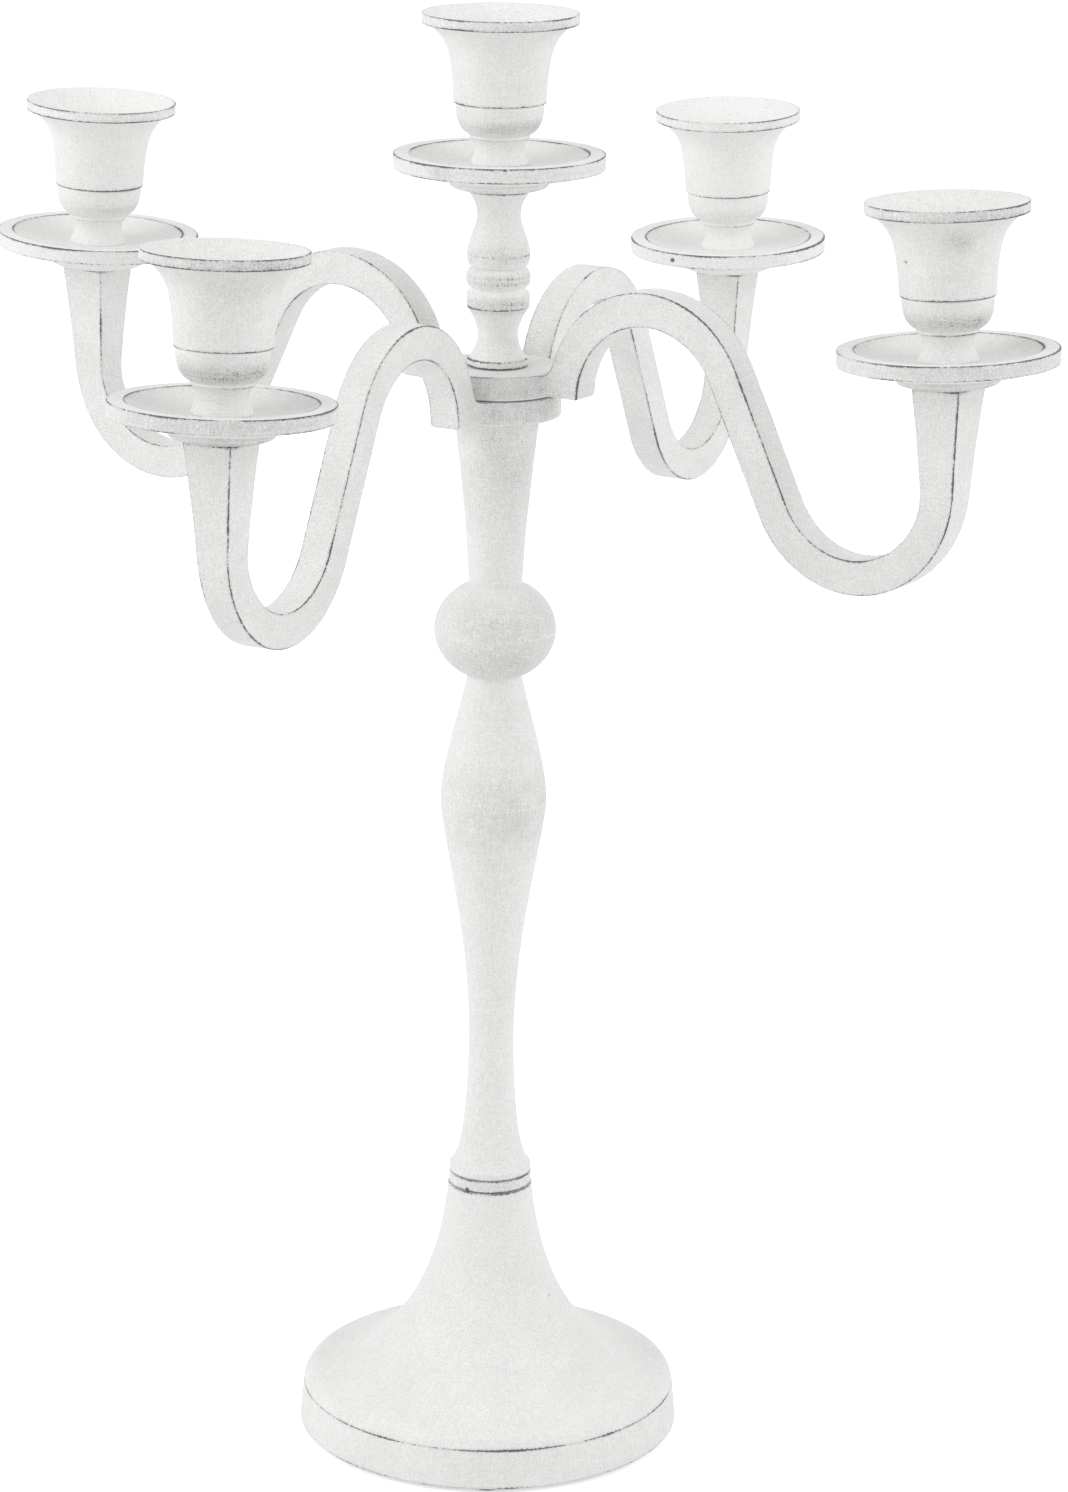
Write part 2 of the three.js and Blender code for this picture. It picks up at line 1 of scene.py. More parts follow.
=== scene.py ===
"""A five-light candelabra in distressed white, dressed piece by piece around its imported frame.

Every piece is a closed skin worked out with numpy: a half outline turned round an axis, or a square section
carried along an arm's centreline. Lengths are millimetres, as on a maker's drawing, until a skin becomes a mesh.
"""

import json
import logging
import math
from collections.abc import Callable, Iterable, Sequence
from dataclasses import dataclass, field
from enum import Enum
from functools import partial
from typing import ClassVar

import bpy
import mathutils
import numpy as np
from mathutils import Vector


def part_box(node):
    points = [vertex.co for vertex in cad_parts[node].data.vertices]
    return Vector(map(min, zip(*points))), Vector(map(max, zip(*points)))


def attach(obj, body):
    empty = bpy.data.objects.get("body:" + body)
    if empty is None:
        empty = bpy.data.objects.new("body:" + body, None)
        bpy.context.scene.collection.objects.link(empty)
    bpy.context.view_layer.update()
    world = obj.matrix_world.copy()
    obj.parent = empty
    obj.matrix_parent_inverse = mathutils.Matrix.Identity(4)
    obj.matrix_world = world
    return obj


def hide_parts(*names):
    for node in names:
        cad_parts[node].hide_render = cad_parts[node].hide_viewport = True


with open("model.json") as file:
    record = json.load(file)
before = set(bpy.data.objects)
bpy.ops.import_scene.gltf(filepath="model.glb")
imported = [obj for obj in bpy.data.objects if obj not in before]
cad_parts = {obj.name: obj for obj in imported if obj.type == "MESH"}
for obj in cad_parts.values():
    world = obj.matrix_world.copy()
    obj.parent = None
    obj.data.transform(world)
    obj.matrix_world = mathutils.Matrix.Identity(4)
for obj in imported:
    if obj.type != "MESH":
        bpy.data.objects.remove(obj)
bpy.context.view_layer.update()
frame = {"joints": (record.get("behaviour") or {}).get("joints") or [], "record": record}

LOG = logging.getLogger("candelabra")

MM = 0.001  # metres
UNWORN = -3.0  # mm: this far outside any rubbed band, or further
ROD_BORE = 3.3  # clear of the M6 tie rod
SCREW_BORE = 2.8  # clear of an M5 screw
FULL_TURN = 2 * math.pi
HAIR = 0.05  # mm between rows that would otherwise meet
CURVE_SAMPLES = 160  # where the length run along a curve is measured
LENGTH_SAMPLES = 60  # where its whole length is
ARC_SHARE = 0.8  # of its two tangents' length that a quarter arc has
LEAST_ROWS = 7  # along a stretch of outline, however short
FILLET_SHARE = 0.3  # of a stretch's length, the most that a corner's rounding takes
ROUNDING = np.array([[0.2], [0.5], [0.8]])  # where the rows of a corner's rounding stand along it
SHADED_SIDE = math.radians(-55)  # turned pieces have their lines and speckle darkest towards here: a painted shade away from the stronger lamp
LIT_SIDE_EDGE_LOSS = 0.1  # mm less of a rubbed line on the far side, a painted light there
LIT_SIDE_SPECKLE_LOSS = 0.75  # share of the speckle that is missing there, a painted light

Matrix = np.ndarray


class Wear(Enum):
    """Half the width, in mm, over which an edge's paint is rubbed through to the dark undercoat."""

    NONE = UNWORN
    FAINT = -0.03
    LIGHT = 0.07
    PLAIN = 0.16
    STRONG = 0.25


@dataclass(frozen=True)
class SpeckleAndShade:
    """A band of dark speckle and painted shade on a stretch of an outline, mostly under bulges and in hollows.

    Attributes:
        middle: Where it is strongest, as a share of the stretch's length.
        spread: How far it reaches from there, as the same share.
        strength: How dark it is, up to 1, or below 0 where it is lighter than the coat around it.
    """

    middle: float = 0.5
    spread: float = 0.3
    strength: float = 0.0


def turn_about_z(angle: float) -> Matrix:
    """A turn about +Z as a 4x4 matrix.

    Args:
        angle: The turn in radians.

    Returns:
        The matrix.
    """
    matrix = np.eye(4)
    matrix[:2, :2] = [[math.cos(angle), -math.sin(angle)], [math.sin(angle), math.cos(angle)]]
    return matrix


def lift(height: float) -> Matrix:
    """A move along +Z, by height in mm, as a 4x4 matrix.

    Args:
        height: How far up, in mm.

    Returns:
        The matrix.
    """
    matrix = np.eye(4)
    matrix[2, 3] = height
    return matrix


def rounded(start: np.ndarray, corner: np.ndarray, end: np.ndarray, t: np.ndarray) -> np.ndarray:
    """The quadratic curve from start to end at t, as (1 - t)^2 start + 2 t (1 - t) corner + t^2 end."""
    return (1 - t) ** 2 * start + 2 * t * (1 - t) * corner + t**2 * end


def run_along(points: np.ndarray) -> np.ndarray:
    """The length run to each point of a path, from 0 at its first."""
    return np.concatenate([[0], np.cumsum(np.linalg.norm(np.diff(points, axis=0), axis=1))])


def put(name: str, data: bpy.types.ID) -> bpy.types.Object:
    """Puts a mesh, a camera or a lamp into the scene.

    Args:
        name: The object's name.
        data: What it is.

    Returns:
        The object, at the origin.
    """
    made = bpy.data.objects.new(name, data)
    bpy.context.scene.collection.objects.link(made)
    return made


def standing_on(place: Sequence[float], axis: Sequence[float]) -> Matrix:
    """A frame whose origin is at a place and whose +Z is an axis, with its +X as near level outward as it can be.

    Args:
        place: The origin in mm.
        axis: The direction of +Z.

    Returns:
        The frame as a 4x4 matrix.
    """
    up = np.array(axis, float) / np.linalg.norm(axis)
    out = np.array([place[0], place[1], 0.0])
    out = out if np.linalg.norm(out) > 1 else np.array([1.0, 0.0, 0.0])
    side = np.cross(up, out)
    side /= np.linalg.norm(side)
    matrix = np.eye(4)
    matrix[:3, 0] = np.cross(side, up)
    matrix[:3, 1] = side
    matrix[:3, 2] = up
    matrix[:3, 3] = place
    return matrix


@dataclass
class Skin:
    """A closed surface with its wear, in mm.

    Attributes:
        points: One row for each vertex.
        marks: For each vertex, how deep it lies inside a rubbed band in mm, and below zero outside one; how
            much dark speckle and painted shade it has, from 0 to 1; and its place for the brush marks, which run
            along the last of its three numbers.
        quads: Four vertex numbers for each face of the grid.
        tips: Three vertex numbers for each face round a pole.
    """

    points: np.ndarray
    marks: np.ndarray
    quads: np.ndarray
    tips: np.ndarray

    @classmethod
    def wrapped(cls, grid: np.ndarray, marks: np.ndarray, ring: bool) -> "Skin":
        """Joins a grid of points into a skin.

        Args:
            grid: Points by row and column. Each row is a closed loop.
            marks: Their marks by row and column.
            ring: Whether the last row joins the first. If not, both shrink to a point and close the skin.

        Returns:
            The skin, with its faces pointing out.
        """
        rows, columns = grid.shape[:2]
        both = np.concatenate([grid, marks], axis=2)
        here = np.arange(columns)
        beside = (here + 1) % columns
        if ring:
            row = np.arange(rows)[:, None] * columns
            above = (np.arange(rows)[:, None] + 1) % rows * columns
            tips = np.empty((0, 3), int)
            both = both.reshape(rows * columns, -1)
        else:
            row = np.arange(rows - 3)[:, None] * columns
            above = row + columns
            foot, head = (rows - 2) * columns, (rows - 2) * columns + 1
            top = (rows - 3) * columns
            low = np.stack([np.full(columns, foot), beside, here], axis=1)
            high = np.stack([top + here, top + beside, np.full(columns, head)], axis=1)
            tips = np.concatenate([low, high])
            both = np.concatenate([both[1:-1].reshape((rows - 2) * columns, -1), both[[0, -1]].mean(axis=1)])
        quads = np.stack([row + here, row + beside, above + beside, above + here], axis=-1).reshape(-1, 4)
        return cls(both[:, :3], both[:, 3:], quads, tips).facing_out()

    def facing_out(self) -> "Skin":
        """Turns every face round if the volume inside, summed from the origin, comes out negative.

        Returns:
            The skin itself.
        """
        triangles = np.concatenate([self.quads[:, [0, 1, 2]], self.quads[:, [0, 2, 3]], self.tips])
        a, b, c = (self.points[triangles[:, k]] for k in range(3))
        if np.einsum("ij,ij->i", a, np.cross(b, c)).sum() < 0:
            self.quads = self.quads[:, ::-1]
            self.tips = self.tips[:, ::-1]
        return self

    def placed(self, matrix: Matrix) -> "Skin":
        """A copy of the skin, moved and turned by a 4x4 matrix."""
        return Skin(self.points @ matrix[:3, :3].T + matrix[:3, 3], self.marks, self.quads, self.tips)

    def shaded_and_lightened(self, axis: Sequence[float], cover: float = 0.0) -> "Skin":
        """A copy of the skin with painted shade on its front right and painted light behind.

        The share of darkening is half of one plus the cosine of the turn from the shaded side. It thins the
        rubbed lines and lightens the speckle on the far side, as painted light.

        Args:
            axis: A place on the piece's upright axis.
            cover: How much lighter than on the others its paint is painted, a painted light, from 0 to 1.

        Returns:
            The skin.
        """
        turn = np.arctan2(self.points[:, 1] - axis[1], self.points[:, 0] - axis[0])
        share = 0.5 + 0.5 * np.cos(turn - SHADED_SIDE)
        marks = self.marks.copy()
        marks[:, 0] -= LIT_SIDE_EDGE_LOSS * (1 - share)
        marks[:, 1] *= 1 - LIT_SIDE_SPECKLE_LOSS * (1 - share)
        # painted light: the cover makes the speckle and painted shade weaker all over this piece
        marks[:, 1] -= cover
        return Skin(self.points, marks, self.quads, self.tips)

    def __add__(self, other: "Skin") -> "Skin":
        """Both skins as one.

        Args:
            other: The other skin.

        Returns:
            A new skin.
        """
        first = len(self.points)
        return Skin(
            np.concatenate([self.points, other.points]),
            np.concatenate([self.marks, other.marks]),
            np.concatenate([self.quads, other.quads + first]),
            np.concatenate([self.tips, other.tips + first]),
        )

    def solid(self, name: str) -> bpy.types.Object:
        """Makes the skin a mesh object in metres.

        Args:
            name: The object's name.

        Returns:
            The object, at the origin, with its marks as point attributes.
        """
        mesh = bpy.data.meshes.new(name)
        corners = np.concatenate([self.quads.ravel(), self.tips.ravel()])
        sizes = np.concatenate([np.full(len(self.quads), 4), np.full(len(self.tips), 3)])
        mesh.vertices.add(len(self.points))
        mesh.vertices.foreach_set("co", (self.points * MM).ravel())
        mesh.loops.add(len(corners))
        mesh.loops.foreach_set("vertex_index", corners)
        mesh.polygons.add(len(sizes))
        mesh.polygons.foreach_set("loop_start", np.cumsum(sizes) - sizes)
        mesh.update(calc_edges=True)
        mesh.shade_smooth()
        for title, column in (("rub", 0), ("grime", 1)):
            mesh.attributes.new(title, "FLOAT", "POINT").data.foreach_set("value", self.marks[:, column].copy())
        brush = mesh.attributes.new("brush", "FLOAT_VECTOR", "POINT")
        brush.data.foreach_set("vector", (self.marks[:, 2:] * MM).ravel())
        return put(name, mesh)


@dataclass(frozen=True)
class Stretch:
    """One straight or curved stretch of an outline.

    Attributes:
        control: Its two ends, or the four points of a cubic curve, as (radius, height).
        wear: How its far corner is rubbed.
        speckle_and_shade: Its band of speckle and painted shade.
    """

    control: np.ndarray
    wear: Wear
    speckle_and_shade: SpeckleAndShade

    def at(self, shares: np.ndarray) -> np.ndarray:
        """Points at shares of the stretch's length.

        The curve is the sum of its control points, each weighted by its Bernstein polynomial, and the
        parameter is spread by the length run so far.

        Args:
            shares: Shares of the length, from 0 to 1.

        Returns:
            The points as (radius, height).
        """
        order = len(self.control) - 1
        weight = [math.comb(order, k) for k in range(order + 1)]

        def curve(t: np.ndarray) -> np.ndarray:
            """The Bernstein sum at the parameters t."""
            terms = [weight[k] * t**k * (1 - t) ** (order - k) for k in range(order + 1)]
            return np.stack(terms, axis=1) @ self.control

        t = np.linspace(0, 1, CURVE_SAMPLES)
        run = run_along(curve(t))
        return curve(np.interp(shares * run[-1], run, t))

    @property
    def length(self) -> float:
        """The length of the stretch in mm."""
        return float(np.linalg.norm(np.diff(self.at(np.linspace(0, 1, LENGTH_SAMPLES)), axis=0), axis=1).sum())


@dataclass
class Outline:
    """Half the section of a turned piece, drawn stretch by stretch from its first point.

    Attributes:
        radius: The radius reached so far.
        height: The height reached so far.
        fillet: How far from each corner its rounding starts.
        spacing: The widest spacing of the rows along a stretch.
        girth: The radius at which brush marks have their true width.
        stretches: What has been drawn so far.
        ring: Whether the outline comes back to its first point.
    """

    radius: float
    height: float
    fillet: float = 0.3
    spacing: float = 0.9
    girth: float = 12.0
    stretches: list[Stretch] = field(default_factory=list)
    ring: bool = False

    def line(self, radius: float, rise: float, wear: Wear = Wear.NONE, speckle_and_shade: SpeckleAndShade = SpeckleAndShade()) -> "Outline":
        """Adds a straight stretch, as curve does without its handles."""
        return self.curve(radius, rise, None, None, wear, speckle_and_shade)

    def curve(
        self,
        radius: float,
        rise: float,
        leave: tuple[float, float] | None,
        arrive: tuple[float, float] | None,
        wear: Wear = Wear.NONE,
        speckle_and_shade: SpeckleAndShade = SpeckleAndShade(),
    ) -> "Outline":
        """Adds a cubic curve, or a straight stretch if it has no handles.

        Args:
            radius: The radius at its far end.
            rise: The rise to it.
            leave: The first handle, as shares of the radius change and of the rise.
            arrive: The second handle, back from the far end, as the same shares.
            wear: How its far corner is rubbed.
            speckle_and_shade: Its band of speckle and painted shade.

        Returns:
            The outline.
        """
        start = np.array([self.radius, self.height])
        step = np.array([radius - self.radius, rise])
        handles = [] if leave is None else [start + np.array(leave) * step, start + step - np.array(arrive) * step]
        self.radius, self.height = radius, self.height + rise
        self.stretches.append(Stretch(np.array([start, *handles, start + step]), wear, speckle_and_shade))
        return self

    def close(self, wear: Wear = Wear.NONE) -> "Outline":
        """Runs straight back to the first point, as down a bore.

        Args:
            wear: How the corner at the first point is rubbed.

        Returns:
            The outline.
        """
        radius, height = self.stretches[0].control[0]
        self.ring = True
        return self.line(radius, height - self.height, wear)

    def rows(self) -> tuple[np.ndarray, np.ndarray]:
        """Works out the rows of the turned skin.

        Along a stretch, the rows stand at (1 - cos) / 2 of its length, so they crowd at both ends. A corner
        is rounded by the quadratic curve through the two points a fillet away from it. The rub falls by one
        mm for each mm along the outline from a worn corner. A band of speckle and painted shade is its
        strength times a bell curve of the share of the length.

        Returns:
            The points as (radius, height), and the rub, the speckle and painted shade, and the run of each row.
        """
        count = len(self.stretches)
        lengths = [stretch.length for stretch in self.stretches]
        cuts = []
        for i in range(count):
            room = FILLET_SHARE * min(lengths[i], lengths[(i + 1) % count])
            cuts.append(min(self.fillet, room) if self.ring or i < count - 1 else 0.0)
        points, grime, corners = [], [], []
        for i, stretch in enumerate(self.stretches):
            before = cuts[i - 1] if i or self.ring else 0.0
            steps = LEAST_ROWS + math.ceil(lengths[i] / self.spacing)
            along = (1 - np.cos(np.linspace(0, math.pi, steps))) / 2
            shares = (before + (lengths[i] - before - cuts[i]) * along) / lengths[i]
            points.append(stretch.at(shares))
            speckle_and_shade = stretch.speckle_and_shade
            grime.append(speckle_and_shade.strength * np.exp(-(((shares - speckle_and_shade.middle) / speckle_and_shade.spread) ** 2)))
            if cuts[i] == 0.0:
                continue
            after = self.stretches[(i + 1) % count]
            start, corner = points[-1][-1], stretch.control[-1]
            end = after.at(np.array([cuts[i] / lengths[(i + 1) % count]]))[0]
            points.append(rounded(start, corner, end, ROUNDING))
            grime.append(np.full(len(ROUNDING), grime[-1][-1] / 2))
            corners.append((sum(len(part) for part in points) - 2, stretch.wear))
        points, grime = np.concatenate(points), np.concatenate(grime)
        run = run_along(points)
        round_trip = run[-1] + np.linalg.norm(points[0] - points[-1])
        rub = np.full(len(points), UNWORN)
        for index, wear in corners:
            away = np.abs(run - run[index])
            if self.ring:
                away = np.minimum(away, round_trip - away)
            rub = np.maximum(rub, wear.value - away)
        return points, np.stack([rub, grime, run], axis=1)

    def turned(self, columns: int) -> Skin:
        """Turns the outline round +Z: x and y are the radius times the cosine and sine of the turn.

        Args:
            columns: How many steps make the full turn.

        Returns:
            The skin.
        """
        points, marks = self.rows()
        turn = np.linspace(0, FULL_TURN, columns, endpoint=False)
        level = 0 * turn
        radius, height = points[:, :1], points[:, 1:]
        rub, grime, run = (marks[:, k : k + 1] + level for k in range(3))
        grid = np.stack([radius * np.cos(turn), radius * np.sin(turn), height + level], axis=-1)
        around = [self.girth * np.cos(turn) + 0 * run, self.girth * np.sin(turn) + 0 * run]
        return Skin.wrapped(grid, np.stack([rub, grime, *around, run], axis=-1), self.ring)


def linear(colour: str) -> tuple[float, float, float, float]:
    """Turns an sRGB hex colour to the linear values that a shader takes.

    Args:
        colour: Six hex digits after a #.

    Returns:
        Red, green, blue and an alpha of 1.
    """
    levels = [int(colour[k : k + 2], 16) / 255 for k in (1, 3, 5)]
    return (*(v / 12.92 if v <= 0.04045 else ((v + 0.055) / 1.055) ** 2.4 for v in levels), 1.0)


def add(tree: bpy.types.NodeTree, kind: str, inputs: dict | None = None, **settings: object) -> bpy.types.Node:
    """Adds a node with its settings, and links or sets its inputs.

    Args:
        tree: The material's or world's node tree.
        kind: The node's type without its ShaderNode prefix.
        inputs: For each input's name or number, the socket that feeds it or its constant.
        **settings: The node's own properties.

    Returns:
        The node.
    """
    made = tree.nodes.new("ShaderNode" + kind)
    for name, value in settings.items():
        setattr(made, name, value)
    for key, value in (inputs or {}).items():
        if isinstance(value, bpy.types.NodeSocket):
            tree.links.new(value, made.inputs[key])
        else:
            made.inputs[key].default_value = value
    return made


def per_metre(period: float) -> float:
    """The scale of a noise whose features are about this many mm across."""
    return 1 / (period * MM)


def blank(name: str) -> bpy.types.Material:
    """Makes a material without nodes.

    Args:
        name: The material's name.

    Returns:
        The material.
    """
    material = bpy.data.materials.new(name)
    material.use_nodes = True
    material.node_tree.nodes.clear()
    return material


@dataclass(frozen=True)
class Spot:
    """A place where the paint has come off, or where speckle has gathered.

    Attributes:
        place: Its middle, in mm.
        size: Its half width in mm.
    """

    place: tuple[float, float, float]
    size: float

    def depth(self, tree: bpy.types.NodeTree, point: bpy.types.NodeSocket) -> bpy.types.NodeSocket:
        """How deep a point lies inside the spot, in mm: the spot's size less the distance from its middle.

        Args:
            tree: The paint's node tree.
            point: The point in metres.

        Returns:
            The depth, which is below 0 outside the spot.
        """
        middle = tuple(v * MM for v in self.place)
        away = add(tree, "VectorMath", {0: point, 1: middle}, operation="DISTANCE").outputs["Value"]
        return add(tree, "Math", {0: away, 1: -1 / MM, 2: self.size}, operation="MULTIPLY_ADD").outputs[0]


@dataclass(frozen=True)
class Signal:
    """A sum of marks and noises that says how much a layer shows.

    Attributes:
        start: What the sum starts from: a number, or the name of a mark, a noise or another signal.
        weights: The weight of each thing that is added, by its name.
    """

    start: float | str
    weights: dict[str, float]

    def total(self, tree: bpy.types.NodeTree, values: dict[str, bpy.types.NodeSocket]) -> bpy.types.NodeSocket:
        """Adds up: each thing times its weight, plus the sum so far.

        Args:
            tree: The paint's node tree.
            values: The marks, noises and signals by name.

        Returns:
            The sum.
        """
        total = values.get(self.start, self.start)
        for name, weight in self.weights.items():
            total = add(tree, "Math", {0: values[name], 1: weight, 2: total}, operation="MULTIPLY_ADD").outputs[0]
        return total


class Coat(Enum):
    """The colours that show on the painted pieces."""

    FULL = "#f7f7f6"
    THIN = "#e1e1e0"
    FILM_AND_SHADE = "#acabaa"  # the undercoat through a very thin coat, and painted shade where the speckle-and-shade mark is high
    UNDERCOAT = "#4a4846"


@dataclass(frozen=True)
class Layer:
    """What shows where a signal is high, by a smooth step.

    Attributes:
        signal: The signal's name.
        low: Where the step starts.
        high: Where the step ends.
        coat: The colour that shows.
        cover: How much of what lies below it hides there, up to 1.
        within: The mark that it is multiplied by, if any.
    """

    signal: str
    low: float
    high: float
    coat: Coat
    cover: float = 1.0
    within: str = ""


@dataclass(frozen=True)
class DistressedPaint:
    """Matt chalk paint brushed over a dark undercoat on cast aluminium, then rubbed through along the edges.

    The eye gets a soft neutral white without gloss, a fine sandy grain from the casting, a faint crossed
    hatch from the brush, thin rough dark lines on the edges, and peppery speckle with painted shade under
    bulging beads, in hollows and round the hub.

    Attributes:
        noises: For each noise, about how many mm its features are across, and its detail.
        signals: The sums of them. The line's is 0.975 at the border of a rubbed band, where its noises are at
            their middle.
        layers: What lies over the full coat, the lowest first.
        stained: The speckle and painted shade with what a stain adds to it.
        relief: The height of the surface, in grit depths.
    """

    roughness: float = 0.62
    ior: float = 1.5
    grit_depth: float = 0.03  # mm
    grit_strength: float = 0.5
    brush: float = 0.4  # mm across a brush mark
    brush_length: float = 3.5  # mm along it

    noises: ClassVar[dict[str, tuple[float, float]]] = {
        "grit": (0.42, 1.0),  # sand-cast grain, drawn a little coarse so that it shows
        "pepper": (0.42, 2.0),  # specks
        "patch": (5.0, 2.0),  # clusters of specks
        "cloud": (15.0, 2.0),  # thinner paint
        "wander": (14.0, 1.0),  # over which a rubbed line swells and fades
        "nibble": (1.1, 2.0),  # bites out of a line
    }
    signals: ClassVar[dict[str, Signal]] = {
        # Through the speckle-and-shade mark, the thinness, haze and specks are also painted shade under beads, in
        # hollows and round the hub.
        "hatch": Signal(-0.38, {"level": 0.3, "upright": 0.46}),
        "line": Signal("rub", {"wander": 0.9, "nibble": 0.55, "grit": 0.5}),
        "thinness": Signal(-0.8, {"grime": 0.25, "hatch": 1.0, "grit": 1.3, "cloud": 0.3}),
        "haze": Signal(-1.05, {"pepper": 1.0, "patch": 0.6, "cloud": 0.5, "hatch": 0.8}),
        "specks": Signal("hatch", {"grime": 0.43, "patch": 0.5, "pepper": 1.0}),
    }
    layers: ClassVar[dict[str, Layer]] = {
        "thin": Layer("thinness", -0.38, 0.38, Coat.THIN),
        "filmed_and_shaded": Layer("haze", -0.4, 0.4, Coat.FILM_AND_SHADE, within="grime"),
        "scuffed": Layer("line", 0.275, 1.075, Coat.UNDERCOAT, 0.16),
        "speckled": Layer("specks", 1.12, 1.32, Coat.UNDERCOAT, 0.55),
        "bare": Layer("line", 0.925, 1.065, Coat.UNDERCOAT, 0.9),
    }
    stained: ClassVar[Signal] = Signal("grime", {"stain": 0.4})
    relief: ClassVar[Signal] = Signal("grit", {"hatch": 0.4, "bare": -1.6})

    def made(self, chips: Iterable[Spot], stains: Iterable[Spot]) -> bpy.types.Material:
        """Builds the material.

        Args:
            chips: Where the paint is off.
            stains: Where speckle has gathered.

        Returns:
            The material.
        """
        material = blank("distressed_white_paint")
        tree = material.node_tree
        node = partial(add, tree)
        place = node("TexCoord").outputs["Object"]
        values = {mark: node("Attribute", attribute_name=mark).outputs["Fac"] for mark in ("rub", "grime")}
        for chip in chips:
            inputs = {0: values["rub"], 1: chip.depth(tree, place)}
            values["rub"] = node("Math", inputs, operation="MAXIMUM").outputs[0]
        for stain in stains:
            inputs = {"Value": stain.depth(tree, place), "From Min": 0.0, "From Max": stain.size}
            values["stain"] = node("MapRange", inputs, interpolation_type="SMOOTHSTEP").outputs[0]
            values["grime"] = self.stained.total(tree, values)

        for name, (period, detail) in self.noises.items():
            inputs = {"Vector": place, "Scale": per_metre(period), "Detail": detail}
            values[name] = node("TexNoise", inputs).outputs["Fac"]
        brush = node("Attribute", attribute_name="brush").outputs["Vector"]
        squeeze = self.brush / self.brush_length
        for name, scale in (("upright", (1, 1, squeeze)), ("level", (squeeze, squeeze, 1))):
            strokes = node("Mapping", {"Vector": brush, "Scale": scale}).outputs["Vector"]
            inputs = {"Vector": strokes, "Scale": per_metre(self.brush), "Detail": 1.0}
            values[name] = node("TexNoise", inputs).outputs["Fac"]
        for name, signal in self.signals.items():
            values[name] = signal.total(tree, values)

        colour = linear(Coat.FULL.value)
        for name, layer in self.layers.items():
            inputs = {"Value": values[layer.signal], "From Min": layer.low, "From Max": layer.high}
            inputs["To Max"] = layer.cover
            shows = node("MapRange", inputs, interpolation_type="SMOOTHSTEP").outputs[0]
            if layer.within:
                shows = node("Math", {0: shows, 1: values[layer.within]}, operation="MULTIPLY").outputs[0]
            colour = node("Mix", {0: shows, 6: colour, 7: linear(layer.coat.value)}, data_type="RGBA").outputs[2]
            values[name] = shows
        inputs = {"Height": self.relief.total(tree, values), "Strength": self.grit_strength}
        bump = node("Bump", {**inputs, "Distance": self.grit_depth * MM}).outputs["Normal"]
        inputs = {"Base Color": colour, "Roughness": self.roughness, "IOR": self.ior, "Normal": bump}
        node("OutputMaterial", {"Surface": node("BsdfPrincipled", inputs).outputs["BSDF"]})
        return material


@dataclass(frozen=True)
class Mottled:
    """A finish of two close colours, which one noise mixes and embosses.

    Attributes:
        title: The material's name.
        low: The colour where the noise is 0.
        high: The colour where the noise is 1.
        metallic: 1 for a metal and 0 for anything else.
        roughness: The roughness where the noise is 0.
        swing: How much rougher it is where the noise is 1.
        period: About how many mm a mottle is across.
        detail: The noise's detail.
        depth: How deep the relief is in mm.
        strength: How strongly it shows.
    """

    title: str
    low: str
    high: str
    metallic: float
    roughness: float
    swing: float
    period: float
    detail: float
    depth: float
    strength: float

    def made(self) -> bpy.types.Material:
        """Builds the material.

        Returns:
            The material.
        """
        material = blank(self.title)
        node = partial(add, material.node_tree)
        inputs = {"Vector": node("TexCoord").outputs["Object"], "Scale": per_metre(self.period)}
        mottle = node("TexNoise", {**inputs, "Detail": self.detail}).outputs["Fac"]
        colour = node("Mix", {0: mottle, 6: linear(self.low), 7: linear(self.high)}, data_type="RGBA").outputs[2]
        rough = self.roughness
        if self.swing:
            rough = node("Math", {0: mottle, 1: self.swing, 2: rough}, operation="MULTIPLY_ADD").outputs[0]
        bump = node("Bump", {"Height": mottle, "Strength": self.strength, "Distance": self.depth * MM})
        inputs = {"Base Color": colour, "Metallic": self.metallic, "Roughness": rough}
        shader = node("BsdfPrincipled", {**inputs, "Normal": bump.outputs["Normal"]})
        node("OutputMaterial", {"Surface": shader.outputs["BSDF"]})
        return material


@dataclass(frozen=True)
class ZincSteel(Mottled):
    """Zinc-plated mild steel, as on hardware-shop screws and nuts.

    The eye gets a pale bluish grey metal with a soft, slightly cloudy shine.
    """

    title: str = "zinc_plated_steel"
    low: str = "#b9bbbe"
    high: str = "#9a9da1"
    metallic: float = 1.0
    roughness: float = 0.26
    swing: float = 0.2
    period: float = 1.6
    detail: float = 3.0
    depth: float = 0.01
    strength: float = 0.3


@dataclass(frozen=True)
class PadRubber(Mottled):
    """Moulded black rubber.

    The eye gets a dull near-black with a fine pebble from the mould and dust in its hollows.
    """

    title: str = "moulded_rubber"
    low: str = "#45423f"
    high: str = "#2b2a29"
    metallic: float = 0.0
    roughness: float = 0.8
    swing: float = 0.0
    period: float = 0.5
    detail: float = 2.0
    depth: float = 0.04
    strength: float = 0.6


class Slot(Enum):
    """The record's material slots."""

    PAINT = "white_paint"
    STEEL = "zinc_steel"
    RUBBER = "pad_rubber"


@dataclass(frozen=True)
class Workshop:
    """Dresses finished skins and puts them on the frame.

    Attributes:
        materials: The material of each slot.
    """

    materials: dict[Slot, bpy.types.Material]

    def fit(self, node: str, skin: Skin, slot: Slot = Slot.PAINT) -> None:
        """Makes a skin a piece that stands for a node of the frame and rides on its body.

        Args:
            node: The node's name.
            skin: The finished surface.
            slot: The slot of its finish.
        """
        piece = skin.solid(f"{node}.finished")
        piece.data.materials.append(self.materials[slot])
        body = next(name for name, nodes in frame["record"]["behaviour"]["bodies"].items() if node in nodes)
        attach(piece, body)
        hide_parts(node)
        LOG.info("%s: %d faces on %s", piece.name, len(skin.quads) + len(skin.tips), body)


